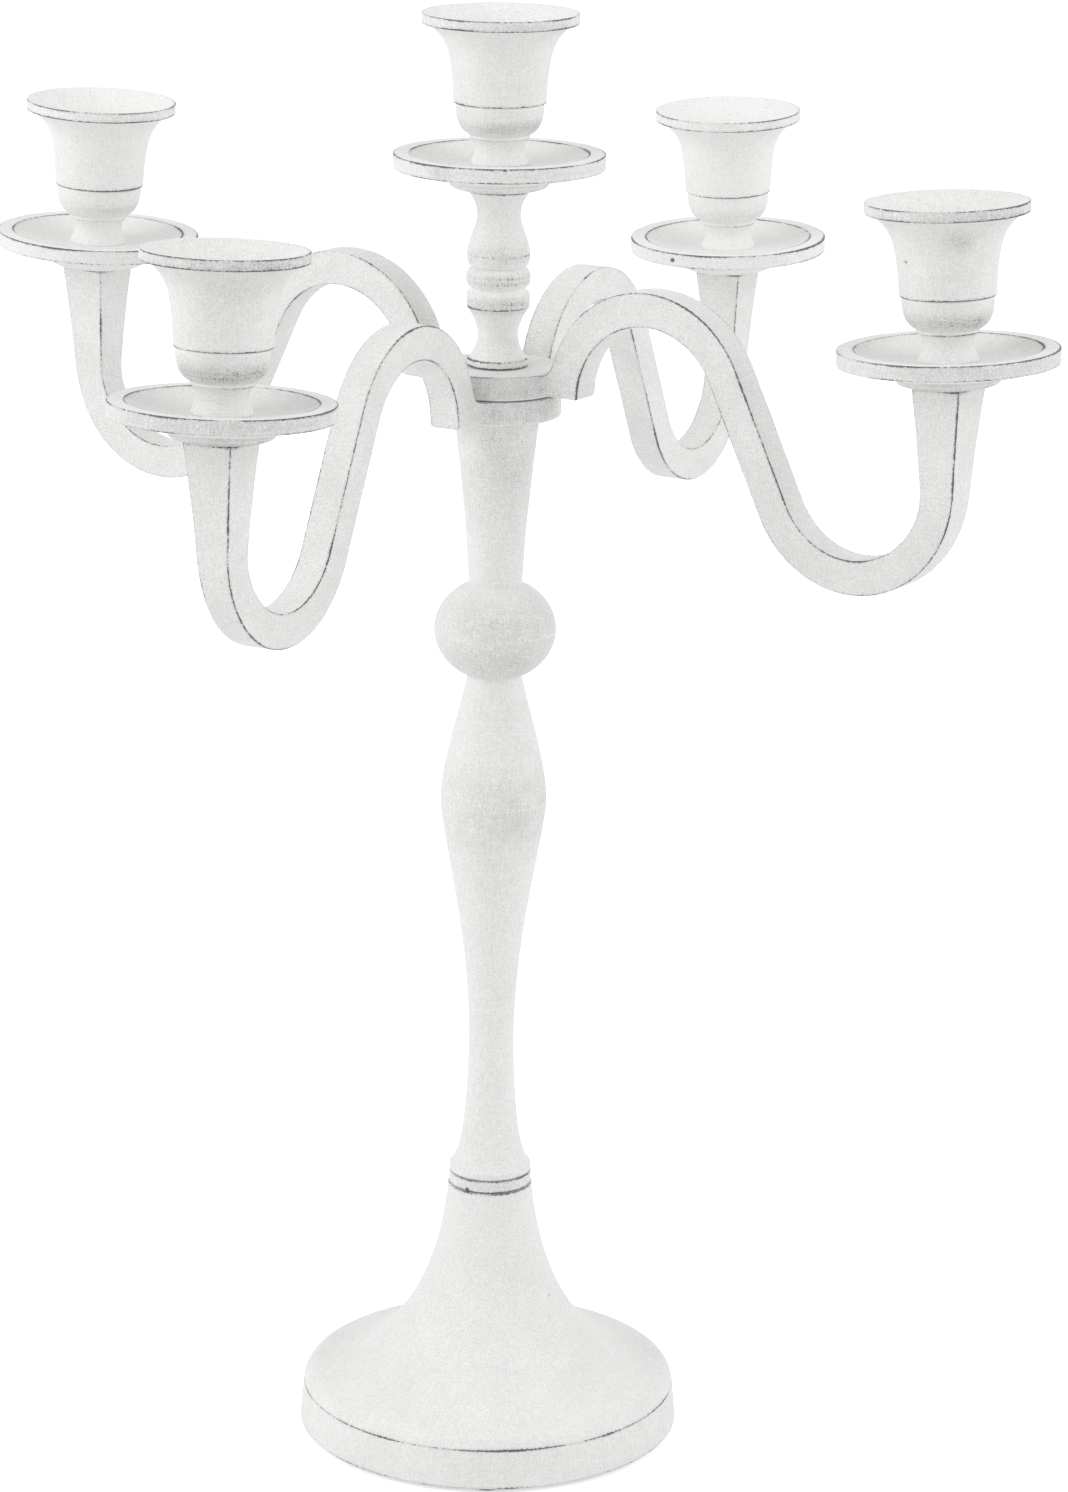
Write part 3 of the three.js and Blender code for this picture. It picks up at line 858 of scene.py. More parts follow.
def at_bottom_of(node: str) -> Matrix:
    """A move up to the height of a node's lowest point."""
    return lift(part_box(node)[0].z / MM)


def joint_frame(name: str) -> Matrix:
    """The frame in mm of a joint: its origin at the joint's place and its +Z along the joint's axis."""
    joint = next(j for j in frame["joints"] if j["name"] == name)
    return standing_on([v / MM for v in joint["pos_m"]], joint["axis"])


@dataclass(frozen=True)
class Foot:
    """The bell foot with its pads, and the nut and washer that pull the stem down on it."""

    radius: float = 53.6
    taper: float = 1.05  # the band is narrower by this at its top
    edge: float = 0.45
    band: float = 11.2
    shoulder: float = 4.4
    shoulder_width: float = 4.75
    bell: float = 55.3
    top_radius: float = 11.75
    rim: float = 4.0
    wall: float = 3.0
    roof: float = 5.0
    roof_radius: float = 9.65
    pad_radius: float = 5.0
    pad_height: float = 0.8
    pad_edge: float = 2.1
    pad_count: int = 3
    lug_margin: float = 1.0
    lug_lift: float = 0.02  # keeps its end out of the plane of the rim's own
    washer_radius: float = 7.0
    washer_height: float = 1.2
    nut_across_flats: float = 10.0
    nut_height: float = 5.0
    nut_face: float = 0.98  # of the flats' radius, where the chamfer starts
    nut_chamfer: float = 1.7  # mm out for each mm along
    columns: int = 224

    def casting(self) -> Skin:
        """The foot: a band, a round shoulder, a bell and a flat top round a hollow, with a lug behind each pad.

        Returns:
            The skin, standing on its rim at the origin.
        """
        outline = Outline(self.radius - self.rim, 0, girth=40)
        outline.line(self.radius - self.edge, 0, Wear.LIGHT)
        outline.line(self.radius, self.edge, Wear.FAINT)
        outline.line(self.radius - self.taper, self.band - self.edge, Wear.PLAIN)
        outline.curve(self.radius - self.taper - self.shoulder_width, self.shoulder, (0.1, 0.55), (0.6, 0.1))
        outline.curve(self.top_radius, self.bell, (0.15, 0.013), (0.126, 0.876), Wear.LIGHT)
        outline.line(ROD_BORE, 0)
        outline.line(ROD_BORE, -self.roof)
        outline.line(self.roof_radius, 0)
        inside = self.band - self.wall - outline.height
        outline.curve(self.radius - self.rim, inside, (0.08, 0.55), (0.62, 0.14)).close()
        foot = outline.turned(self.columns)
        lug = Outline(0, self.lug_lift).line(self.pad_radius + self.lug_margin, 0)
        lug.line(self.pad_radius + self.lug_margin, self.band - self.wall / 2).line(0, 0)
        for place in self.pad_places():
            foot += lug.turned(columns=48).placed(place)
        return foot

    def pad_places(self) -> list[Matrix]:
        """The frames of the pads: one at the front and the others spread evenly.

        Returns:
            The frames as 4x4 matrices.
        """
        reach = np.eye(4)
        reach[0, 3] = self.radius - self.pad_edge - self.pad_radius
        turns = [-math.pi / 2 + FULL_TURN * i / self.pad_count for i in range(self.pad_count)]
        return [turn_about_z(turn) @ reach for turn in turns]

    def pad(self) -> Skin:
        """A flat rubber disc with soft edges."""
        outline = Outline(0, 0, fillet=0.22, spacing=0.5).line(self.pad_radius, 0)
        return outline.line(self.pad_radius, self.pad_height).line(0, 0).turned(columns=64)

    def washer(self) -> Skin:
        """A punched washer."""
        outline = Outline(ROD_BORE, 0, fillet=0.15).line(self.washer_radius, 0)
        return outline.line(self.washer_radius, self.washer_height).line(ROD_BORE, 0).close().turned(columns=96)

    def nut(self) -> Skin:
        """A hexagon nut with chamfered corners.

        Each point at the full radius moves in to the hexagon, whose radius at a turn is half the width
        across flats over the cosine of the turn from the nearest flat's middle. The chamfer takes the
        corners down by the height that is left to the nut's end.

        Returns:
            The skin, standing at the origin.
        """
        corner = self.nut_across_flats / math.sqrt(3)
        outline = Outline(ROD_BORE, 0, fillet=0.1, spacing=0.3).line(corner, 0)
        nut = outline.line(corner, self.nut_height).line(ROD_BORE, 0).close().turned(columns=192)
        x, y, z = nut.points.T
        radius = np.hypot(x, y)
        sixth = FULL_TURN / 6
        from_flat = np.mod(np.arctan2(y, x), sixth) - sixth / 2
        hexagon = self.nut_across_flats / 2 / np.cos(from_flat)
        end = np.minimum(z, self.nut_height - z)
        chamfer = self.nut_across_flats / 2 * self.nut_face + self.nut_chamfer * end
        new = np.minimum(radius, np.minimum(hexagon, chamfer))
        nut.points[:, :2] *= (np.maximum(new, ROD_BORE) / radius)[:, None]
        return nut

    def build(self, workshop: Workshop) -> None:
        """Builds and dresses the foot's pieces.

        Args:
            workshop: Where they are dressed.
        """
        workshop.fit("bell_foot", self.casting().placed(at_bottom_of("bell_foot")))
        for i, place in enumerate(self.pad_places()):
            workshop.fit(f"foot_pad_{i + 1}", self.pad().placed(place), Slot.RUBBER)
        workshop.fit("tie_rod_washer", self.washer().placed(at_bottom_of("tie_rod_washer")), Slot.STEEL)
        workshop.fit("tie_rod_nut", self.nut().placed(at_bottom_of("tie_rod_nut")), Slot.STEEL)


@dataclass(frozen=True)
class Stem:
    """The turned pieces between foot and arms, and the rod that ties them."""

    ring_radius: float = 11.5
    ring_height: float = 3.3
    flange_radius: float = 11.45
    flange_height: float = 1.9
    ankle: float = 37.3
    waist_radius: float = 6.3
    calf: float = 69.5
    belly_radius: float = 14.65
    shoulder: float = 35.4
    neck_radius: float = 7.5
    ball_radius: float = 16.7
    ball_half_height: float = 14.3
    ball_seat_radius: float = 7.6
    upper_length: float = 46.6
    upper_bottom_radius: float = 7.35
    upper_top_radius: float = 11.6
    filler: float = 0.15  # of paint that closes the joints at the ball, on each side
    rod_radius: float = 3.0
    rod_chamfer: float = 0.6  # in radius
    rod_chamfer_height: float = 1.0
    thread_pitch: float = 1.0
    thread_depth: float = 0.5
    thread_length: float = 22.0
    thread_rows: int = 10  # for each pitch
    columns: int = 144

    def ring(self) -> Skin:
        """The collar ring under the stem.

        Returns:
            The skin, standing at the origin.
        """
        outline = Outline(ROD_BORE, 0).line(self.ring_radius, 0, Wear.PLAIN)
        outline.line(self.ring_radius, self.ring_height, Wear.LIGHT, SpeckleAndShade(0.5, 0.6, 0.2)).line(ROD_BORE, 0).close()
        return outline.turned(self.columns)

    def lower(self) -> Skin:
        """The lower stem: a flange, a thin waist and a long belly under the ball.

        Returns:
            The skin, standing at the origin.
        """
        outline = Outline(ROD_BORE, 0, girth=9).line(self.flange_radius, 0, Wear.FAINT)
        outline.line(self.flange_radius, self.flange_height)
        outline.curve(self.waist_radius, self.ankle, (1, 0.08), (0, 0))
        outline.curve(self.belly_radius, self.calf, (0, 0.45), (0, 0.14), speckle_and_shade=SpeckleAndShade(1, 0.2, 0.3))
        outline.curve(self.neck_radius, self.shoulder, (0, 0.29), (0.21, 0.24), speckle_and_shade=SpeckleAndShade(0, 0.3, 0.3))
        return outline.line(self.neck_radius, self.filler).line(ROD_BORE, 0).close().turned(self.columns)

    def ball(self) -> Skin:
        """The flattened ball.

        Each half is a cubic curve from a seat to the middle. Its handles reach 4/3 of the tangent of a
        quarter of its turn, which is as near an ellipse as a cubic comes.

        Returns:
            The skin, with the top of its lower filler at the origin.
        """
        seat = self.ball_half_height * math.sqrt(1 - (self.ball_seat_radius / self.ball_radius) ** 2)
        outline = Outline(ROD_BORE, -self.filler, girth=15).line(self.ball_seat_radius, 0)
        outline.line(self.ball_seat_radius, self.filler)
        start = math.asin(seat / self.ball_half_height)
        reach = 4 / 3 * math.tan(start / 4)
        along = np.array([self.ball_radius * math.sin(start), self.ball_half_height * math.cos(start)]) * reach
        widen = self.ball_radius - self.ball_seat_radius
        level = self.ball_half_height * reach / seat
        leave, arrive = (along[0] / widen, along[1] / seat), (0, level)
        outline.curve(self.ball_radius, seat, leave, arrive, speckle_and_shade=SpeckleAndShade(0.5, 0.7, 0.42))
        outline.curve(self.ball_seat_radius, seat, arrive, leave, speckle_and_shade=SpeckleAndShade(0.2, 0.5, 0.3))
        outline.line(self.ball_seat_radius, self.filler, speckle_and_shade=SpeckleAndShade(0, 1, -1))
        return outline.line(ROD_BORE, 0).close().turned(self.columns)

    def upper(self) -> Skin:
        """The upper stem, flaring to the hub.

        Returns:
            The skin, with the top of its lower filler at the origin.
        """
        outline = Outline(ROD_BORE, -self.filler, girth=9).line(self.upper_bottom_radius, 0)
        outline.line(self.upper_bottom_radius, self.filler)
        outline.curve(
            self.upper_top_radius, self.upper_length, (0.15, 0.35), (0.42, 0.33), Wear.LIGHT, SpeckleAndShade(0.8, 0.4, 0.35)
        )
        return outline.line(ROD_BORE, 0).close().turned(self.columns)

    def rod(self, length: float) -> Skin:
        """The tie rod with its thread cut on the lower end.

        The thread's depth is a triangle wave of the height over the pitch less the turn, so it winds once
        for each pitch, and it fades in over two pitches at both of its ends.

        Args:
            length: Its length in mm.

        Returns:
            The skin, standing at the origin.
        """
        rows = math.ceil(self.thread_length / self.thread_pitch * self.thread_rows)
        low = np.linspace(0, self.thread_length, rows)
        height = np.concatenate([[0, 0], low, [length - self.rod_chamfer_height, length, length]])
        end = self.rod_radius - self.rod_chamfer
        radius = np.concatenate([[0, end], np.full(rows + 1, self.rod_radius), [end, 0]])
        turn = np.linspace(0, FULL_TURN, 48, endpoint=False)
        phase = height[:, None] / self.thread_pitch - turn / FULL_TURN
        wave = np.abs(2 * np.mod(phase, 1) - 1)
        fade = np.clip(np.minimum(height, self.thread_length - height) / (2 * self.thread_pitch), 0, 1)[:, None]
        cut = radius[:, None] - self.thread_depth * wave * fade
        grid = np.stack([cut * np.cos(turn), cut * np.sin(turn), height[:, None] + 0 * turn], axis=-1)
        return Skin.wrapped(grid, np.zeros((*grid.shape[:2], 5)), ring=False)

    def build(self, workshop: Workshop) -> None:
        """Builds and dresses the stem's pieces.

        Args:
            workshop: Where they are dressed.
        """
        shapes: dict[str, Callable[[], Skin]] = {
            "collar_ring": self.ring,
            "lower_stem": self.lower,
            "stem_ball": self.ball,
            "upper_stem": self.upper,
        }
        for node, shape in shapes.items():
            workshop.fit(node, shape().placed(at_bottom_of(node)).shaded_and_lightened((0, 0)))
        low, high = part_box("tie_rod")
        rod = self.rod((high.z - low.z) / MM).placed(lift(low.z / MM))
        workshop.fit("tie_rod", rod, Slot.STEEL)


@dataclass(frozen=True)
class CrossArm:
    """Two opposite S-shaped arms and their hub disc, cast in one."""

    hub_radius: float = 17.3
    hub_thickness: float = 6.5
    hub_chamfer: float = 0.4
    depth: float = 9.2
    width: float = 8.8
    arch_radius: float = 26.4
    dive_length: float = 37.1
    bow_drop: float = 34.6
    seat_reach: float = 139.4
    seat_rise: float = 18.15
    seat_lean: float = 2.8
    seat_width: float = 14.0
    flare_length: float = 36.0
    flare_power: float = 1.5
    settle: float = 8.0  # over which the arm's last stretch takes up the seat's lean
    root_overlap: float = 2.3  # how far the arm reaches into the disc
    root_step: float = 0.8
    spring_rise: float = 1.45
    root_fillet: float = 2.0
    plan_fillet: float = 6.0  # between the arm's sides and the disc's rim
    plan_fade: float = 2.0  # height above the disc over which those fillets die away
    root_end: float = 1.4  # rounding of the root's lower end
    seat_gap: float = 0.3
    screw_depth: float = 9.3
    edge: float = 0.55  # rounding of the arm's long edges
    edge_rows: tuple[float, ...] = (0.15, 0.35)  # past the rounding, so that a rubbed line has its own rows
    side_rows: tuple[float, ...] = (0.19, 0.24, 0.29, 0.34, 0.4, 0.5, 0.7)  # as shares from inner to outer corner
    end_draw: float = 0.7  # how far in past its rounding an end's last row stands
    station: float = 1.1  # along the centreline
    root_shade_reach: float = 8.0  # how far the speckle and painted shade at the hub reach along the arm
    # strength of the speckle and painted shade round the hub, where the arms crowd the disc
    root_shade_and_grime: float = 0.45
    arm_shade_and_grime: float = 0.25  # of the root's speckle and painted shade, on the rest of the arm
    spared_back: float = 0.08  # mm less of a rubbed line on the back arm

    @property
    def root_reach(self) -> float:
        """How far from the stem's axis the arm's inner side stands."""
        return self.hub_radius + self.seat_gap + self.root_fillet

    @property
    def arch_reach(self) -> float:
        """How far from the stem's axis the arch's centre stands."""
        return self.root_reach + self.depth / 2 + self.arch_radius

    @property
    def bow_radius(self) -> float:
        """The bow's radius, which fills the room between the dive, its lowest point and the seat's plumb.

        Returns:
            The radius in mm.
        """
        reach = self.seat_reach - self.arch_reach
        drop = self.bow_drop + self.spring_rise
        room = reach + drop + self.arch_radius
        return room - math.sqrt(room**2 - (reach**2 + drop**2 - self.arch_radius**2 - self.dive_length**2))

    def root_outline(self) -> np.ndarray:
        """The arm's inner side while the root runs into the disc, as (reach, height).

        It goes up inside the disc, out along the disc's top, then up a hollow fillet, a quadratic curve, to
        the arch's own inner side.

        Returns:
            The points, one for each row.
        """
        top = self.hub_thickness + 2 * self.root_fillet
        arch_side = self.arch_radius + self.depth / 2
        back = self.arch_reach - math.sqrt(arch_side**2 - (top - self.spring_rise) ** 2)
        start = np.array([self.root_reach - self.root_fillet, self.hub_thickness])
        knee = np.array([self.root_reach, self.hub_thickness])
        fillet = rounded(start, knee, np.array([back, top]), np.linspace(0, 1, 9)[:, None])
        within = self.hub_radius - self.root_overlap
        return np.concatenate([[[within, self.spring_rise], [within, self.hub_thickness - HAIR]], fillet])

    def centreline(self) -> tuple[np.ndarray, np.ndarray, np.ndarray]:
        """The stations along the arm, in its own plane.

        A short plumb start, then two arcs, each a centre plus a radius at the heading turned a quarter,
        joined by their common tangent, then a plumb line up to the seat, whose last heading leans towards
        the stem. While the root runs into the disc, the inner side is read off the root's outline, seen
        from the arch's centre.

        Returns:
            The places as (reach, height), the headings in radians, and how far the inner side stands from
            the place, or 0 where it is the arm's own.
        """
        bow = np.array([self.seat_reach - self.bow_radius, self.bow_radius - self.bow_drop])
        arch = np.array([self.arch_reach, self.spring_rise])
        across = bow - arch
        bearing = math.atan2(across[1], across[0])
        dive = bearing - math.asin((self.arch_radius + self.bow_radius) / np.hypot(*across))
        offset = self.root_outline() - arch
        root_turns, root_sides = np.arctan2(offset[:, 1], -offset[:, 0]), np.hypot(*offset.T) - self.arch_radius
        plain = self.steps(self.arch_radius * (math.pi / 2 - dive - root_turns[-1]))
        low = np.linspace(0, root_turns[1], 4)[1:-1]
        turns = np.concatenate([[0], low, root_turns[1:], np.linspace(root_turns[-1], math.pi / 2 - dive, plain)[1:]])
        arch_heading = math.pi / 2 - turns
        bow_heading = np.linspace(dive, math.pi / 2, self.steps(self.bow_radius * (math.pi / 2 - dive)))
        arch_out, bow_out = arch_heading + math.pi / 2, bow_heading - math.pi / 2
        arch_line = arch + self.arch_radius * np.stack([np.cos(arch_out), np.sin(arch_out)], axis=1)
        bow_line = bow + self.bow_radius * np.stack([np.cos(bow_out), np.sin(bow_out)], axis=1)
        down = np.linspace(arch_line[-1], bow_line[0], self.steps(self.dive_length))[1:-1]
        seat = np.array([self.seat_reach, self.seat_rise])
        up = np.linspace(bow_line[-1], seat, self.steps(seat[1] - bow[1]))[1:]
        start = arch_line[:1] - [[0, self.spring_rise - self.root_step]]
        places = np.concatenate([start, arch_line, down, bow_line, up])
        lean = np.clip(1 - (self.seat_rise - up[:, 1]) / self.settle, 0, 1) * math.radians(self.seat_lean)
        headings = [[math.pi / 2], arch_heading, np.full(len(down), dive), bow_heading, math.pi / 2 + lean]
        sides = np.zeros(len(places))
        sides[1 : len(turns) + 1] = np.interp(turns, root_turns, root_sides, right=0)
        sides[0] = sides[1]
        return places, np.concatenate(headings), sides

    def steps(self, length: float) -> int:
        """How many stations a stretch of this length takes, its two ends among them."""
        return math.ceil(length / self.station) + 1

    def section(self) -> tuple[np.ndarray, np.ndarray, np.ndarray]:
        """The square section's points, as shares of its corners and steps away from them.

        Returns:
            For each point, the weights of the four corners, its step from them in mm as (depth, width), and
            its distance along the section to the nearest corner.
        """
        signs = np.array([(1, 1), (-1, 1), (-1, -1), (1, -1)])
        t = np.linspace(0, 1, 5)[:, None]
        beyond = self.edge + np.array(self.edge_rows)
        inner_to_outer = np.array(self.side_rows)
        shares = (inner_to_outer, np.array([0.5]), 1 - inner_to_outer[::-1], np.array([0.5]))
        weights, steps, away = [], [], []
        for i in range(4):
            come = (signs[i - 1] - signs[i]) / 2
            go = (signs[(i + 1) % 4] - signs[i]) / 2
            one, two = np.eye(4)[i], np.eye(4)[(i + 1) % 4]
            between = shares[i][:, None]
            weights += [np.tile(one, (5 + len(beyond), 1)), (1 - between) * one + between * two]
            weights += [np.tile(two, (len(beyond), 1))]
            steps += [self.edge * rounded(come, 0 * come, go, t), beyond[:, None] * go]
            steps += [np.zeros((len(between), 2)), beyond[::-1, None] * -go]
            middle = self.edge * np.abs(1 - 2 * t[:, 0]) * ARC_SHARE
            away += [middle, beyond, np.full(len(between), self.width / 2), beyond[::-1]]
        return np.concatenate(weights), np.concatenate(steps), np.concatenate(away)

    def arm(self, spared: float) -> Skin:
        """One arm, as a section carried along the centreline and closed at both ends.

        A point is the station's place, plus its step along the normal, which is the heading turned a
        quarter, plus its step across. At each end the section draws in round a quarter circle. On the seat
        it then draws in to the screw's hole and down it.

        Args:
            spared: How much narrower its rubbed lines are, in mm.

        Returns:
            The skin, pointing along +X from the stem's axis.
        """
        places, headings, sides = self.centreline()
        run = run_along(places)
        swell = np.clip(1 - (run[-1] - run) / self.flare_length, 0, 1) ** self.flare_power
        half_depth = (self.depth + (self.seat_width - self.depth) * swell) / 2
        half_width = (self.width + (self.seat_width - self.width) * swell) / 2
        inner = np.maximum(half_depth, sides)

        quarter = np.linspace(0, math.pi / 2, 6)[1:]
        draws, runs = 1 - np.cos(quarter), np.sin(quarter) - 1
        middle = np.flatnonzero((run > self.root_end + HAIR) & (run < run[-1] - self.edge - HAIR))
        ends = len(quarter) + 1
        index = np.concatenate([np.zeros(ends, int), middle, np.full(ends, len(places) - 1)])
        plain = np.zeros(len(middle))
        first, last = self.root_end + self.end_draw, self.edge + self.end_draw
        draw = np.concatenate([[first], self.root_end * draws[::-1], plain, self.edge * draws, [last]])
        ahead = np.concatenate([[0], -self.root_end * runs[::-1], plain, self.edge * runs, [0]])

        weights, steps, away = self.section()
        high, low, wide = inner[index] - draw, half_depth[index] - draw, half_width[index] - draw
        sides = ((high, wide), (-low, wide), (-low, -wide), (high, -wide))
        corners = np.stack([np.stack(side, axis=1) for side in sides], axis=1)
        flat = np.einsum("kc,rcd->rkd", weights, corners) + steps
        heading = headings[index][:, None]
        x = places[index, 0][:, None] + ahead[:, None] * np.cos(heading) - flat[..., 0] * np.sin(heading)
        z = places[index, 1][:, None] + ahead[:, None] * np.sin(heading) + flat[..., 0] * np.cos(heading)
        grid = np.stack([x, flat[..., 1] * self.spread(x, z), z], axis=-1)

        along = Wear.PLAIN.value - spared - np.minimum(away, -UNWORN)
        at_seat = np.where(index == len(places) - 1, Wear.LIGHT.value - np.abs(draw - self.edge / 3), UNWORN)
        rub = np.maximum(along, at_seat[:, None])
        # speckle and painted shade next to the hub, fading along the arm to a weaker share
        from_disc = (x - self.hub_radius) / self.root_shade_reach
        grime = self.arm_shade_and_grime + (1 - self.arm_shade_and_grime) * np.exp(-(np.clip(from_disc, 0, None) ** 2))
        marks = np.concatenate([np.stack([rub, grime * self.root_shade_and_grime], axis=-1), grid], axis=-1)

        lean = math.radians(self.seat_lean)
        up = np.array([-math.sin(lean), 0, math.cos(lean)])
        out = np.array([math.cos(lean), 0, math.sin(lean)])
        seat = np.array([self.seat_reach, 0, self.seat_rise])
        spin = np.arctan2(flat[-1, :, 1], -flat[-1, :, 0])
        circle = SCREW_BORE * (np.cos(spin)[:, None] * out + np.sin(spin)[:, None] * np.array([0, 1, 0]))
        hole = [seat + circle, seat + circle - self.screw_depth * up]
        tips = [grid[:1].mean(axis=1, keepdims=True) + np.zeros_like(grid[:1])]
        tips += [ring[None] for ring in hole]
        tips += [(seat - self.screw_depth * up) + np.zeros_like(grid[:1])]
        hidden = [np.concatenate([np.full((1, len(spin), 2), (UNWORN, 0)), tip], axis=-1) for tip in tips]
        grid = np.concatenate([tips[0], grid, *tips[1:]])
        return Skin.wrapped(grid, np.concatenate([hidden[0], marks, *hidden[1:]]), ring=False)

    def spread(self, x: np.ndarray, z: np.ndarray) -> np.ndarray:
        """How many times its own width the arm has where it flares into the disc.

        Seen from above, a circle of the fillet's radius touches the disc's rim and the arm's side. The half
        width is the arm's own, plus that radius, less the circle's half chord at this reach. Above the disc
        the flare dies away.

        Args:
            x: The reach from the stem's axis.
            z: The height above the disc's underside.

        Returns:
            The width over the arm's own.
        """
        radius, half = self.plan_fillet, self.width / 2
        centre = math.sqrt((self.hub_radius + radius) ** 2 - (half + radius) ** 2)
        touch = centre * self.hub_radius / (self.hub_radius + radius)
        chord = np.sqrt(radius**2 - (centre - np.clip(x, touch, centre)) ** 2)
        fade = np.clip((self.hub_thickness + self.plan_fade - z) / self.plan_fade, 0, 1)
        return 1 + (radius - chord) / half * fade * fade * (3 - 2 * fade)

    def disc(self) -> Skin:
        """The hub disc with its chamfer underneath.

        Returns:
            The skin, standing at the origin.
        """
        outline = Outline(ROD_BORE, 0).line(self.hub_radius - self.hub_chamfer, 0, Wear.FAINT)
        outline.line(self.hub_radius, self.hub_chamfer)
        # the disc's wall gets the same speckle and painted shade as the arms' roots
        even = SpeckleAndShade(spread=5, strength=self.root_shade_and_grime)
        outline.line(self.hub_radius, self.hub_thickness - self.hub_chamfer, Wear.FAINT, even)
        return outline.line(ROD_BORE, 0).close().turned(columns=160)

    def build(self, workshop: Workshop, node: str, height: float, azimuth: float) -> None:
        """Builds and dresses one casting.

        Args:
            workshop: Where it is dressed.
            node: The casting's node.
            height: The height of its underside in mm.
            azimuth: The turn of its front arm from +X, in radians.
        """
        casting = self.disc()
        for turn, spared in ((azimuth, 0.0), (azimuth + math.pi, self.spared_back)):
            casting += self.arm(spared).placed(turn_about_z(turn))
        workshop.fit(node, casting.placed(lift(height)))


@dataclass(frozen=True)
class Finial:
    """The turned finial: a base ring, a waist, two beads, a bulb and a neck that carries the middle light."""

    base_radius: float = 8.2
    base_height: float = 1.9
    ankle: float = 6.2
    waist_radius: float = 5.4
    calf: float = 7.9
    low_bead_radius: float = 8.45
    low_bead_height: float = 3.7
    groove_radius: float = 7.0
    groove_height: float = 1.3
    mid_bead_radius: float = 8.65
    mid_bead_height: float = 5.6
    bulb_radius: float = 8.45
    bulb_height: float = 3.6
    bulb_shoulder: float = 10.3
    neck_radius: float = 5.85
    top_radius: float = 8.4
    top_height: float = 6.7
    rod_depth: float = 16.3
    screw_depth: float = 9.3
    cover: float = 0.12  # how much lighter than on the other turned pieces its paint is painted: a painted light on the high finial, from 0 to 1

    def turned(self) -> Skin:
        """The finial, bored from below for the tie rod and from above for the screw.

        Returns:
            The skin, standing at the origin.
        """
        outline = Outline(0, self.rod_depth, spacing=0.7, girth=7).line(ROD_BORE, 0).line(ROD_BORE, -self.rod_depth)
        outline.line(self.base_radius, 0, Wear.STRONG)
        outline.line(self.base_radius, self.base_height, Wear.PLAIN, SpeckleAndShade(0.5, 0.5, 0.2))
        outline.curve(self.waist_radius, self.ankle, (0.48, 0.13), (0, 0.36), speckle_and_shade=SpeckleAndShade(0.9, 0.4, 0.25))
        outline.curve(self.low_bead_radius, self.calf, (0, 0.18), (0.93, 0.55), Wear.PLAIN, SpeckleAndShade(0.9, 0.15, 0.45))
        outline.line(self.low_bead_radius, self.low_bead_height, speckle_and_shade=SpeckleAndShade(0.35, 0.5, 0.8))
        outline.line(self.groove_radius, self.groove_height, speckle_and_shade=SpeckleAndShade(0.7, 0.5, -1))
        half = self.mid_bead_height / 2
        outline.curve(self.mid_bead_radius, half, (0.9, 0.2), (0, 0.4), speckle_and_shade=SpeckleAndShade(0.85, 0.35, 0.75))
        outline.curve(self.groove_radius, half, (0, 0.4), (0.9, 0.2), speckle_and_shade=SpeckleAndShade(0.15, 0.35, 0.75))
        outline.curve(self.bulb_radius, self.bulb_height, (0.95, 0.15), (0, 0.4), Wear.FAINT, SpeckleAndShade(0.8, 0.4, 0.55))
        outline.curve(self.neck_radius, self.bulb_shoulder, (0, 0.34), (0, 0.26), speckle_and_shade=SpeckleAndShade(0.05, 0.25, 0.5))
        outline.curve(self.top_radius, self.top_height, (0, 0.5), (0.45, 0.24), Wear.LIGHT, SpeckleAndShade(0.3, 0.3, 0.1))
        outline.line(SCREW_BORE, 0).line(SCREW_BORE, -self.screw_depth).line(0, 0)
        return outline.turned(columns=128)

    def build(self, workshop: Workshop) -> None:
        """Builds and dresses the finial.

        Args:
            workshop: Where it is dressed.
        """
        workshop.fit("finial", self.turned().placed(at_bottom_of("finial")).shaded_and_lightened((0, 0), self.cover))


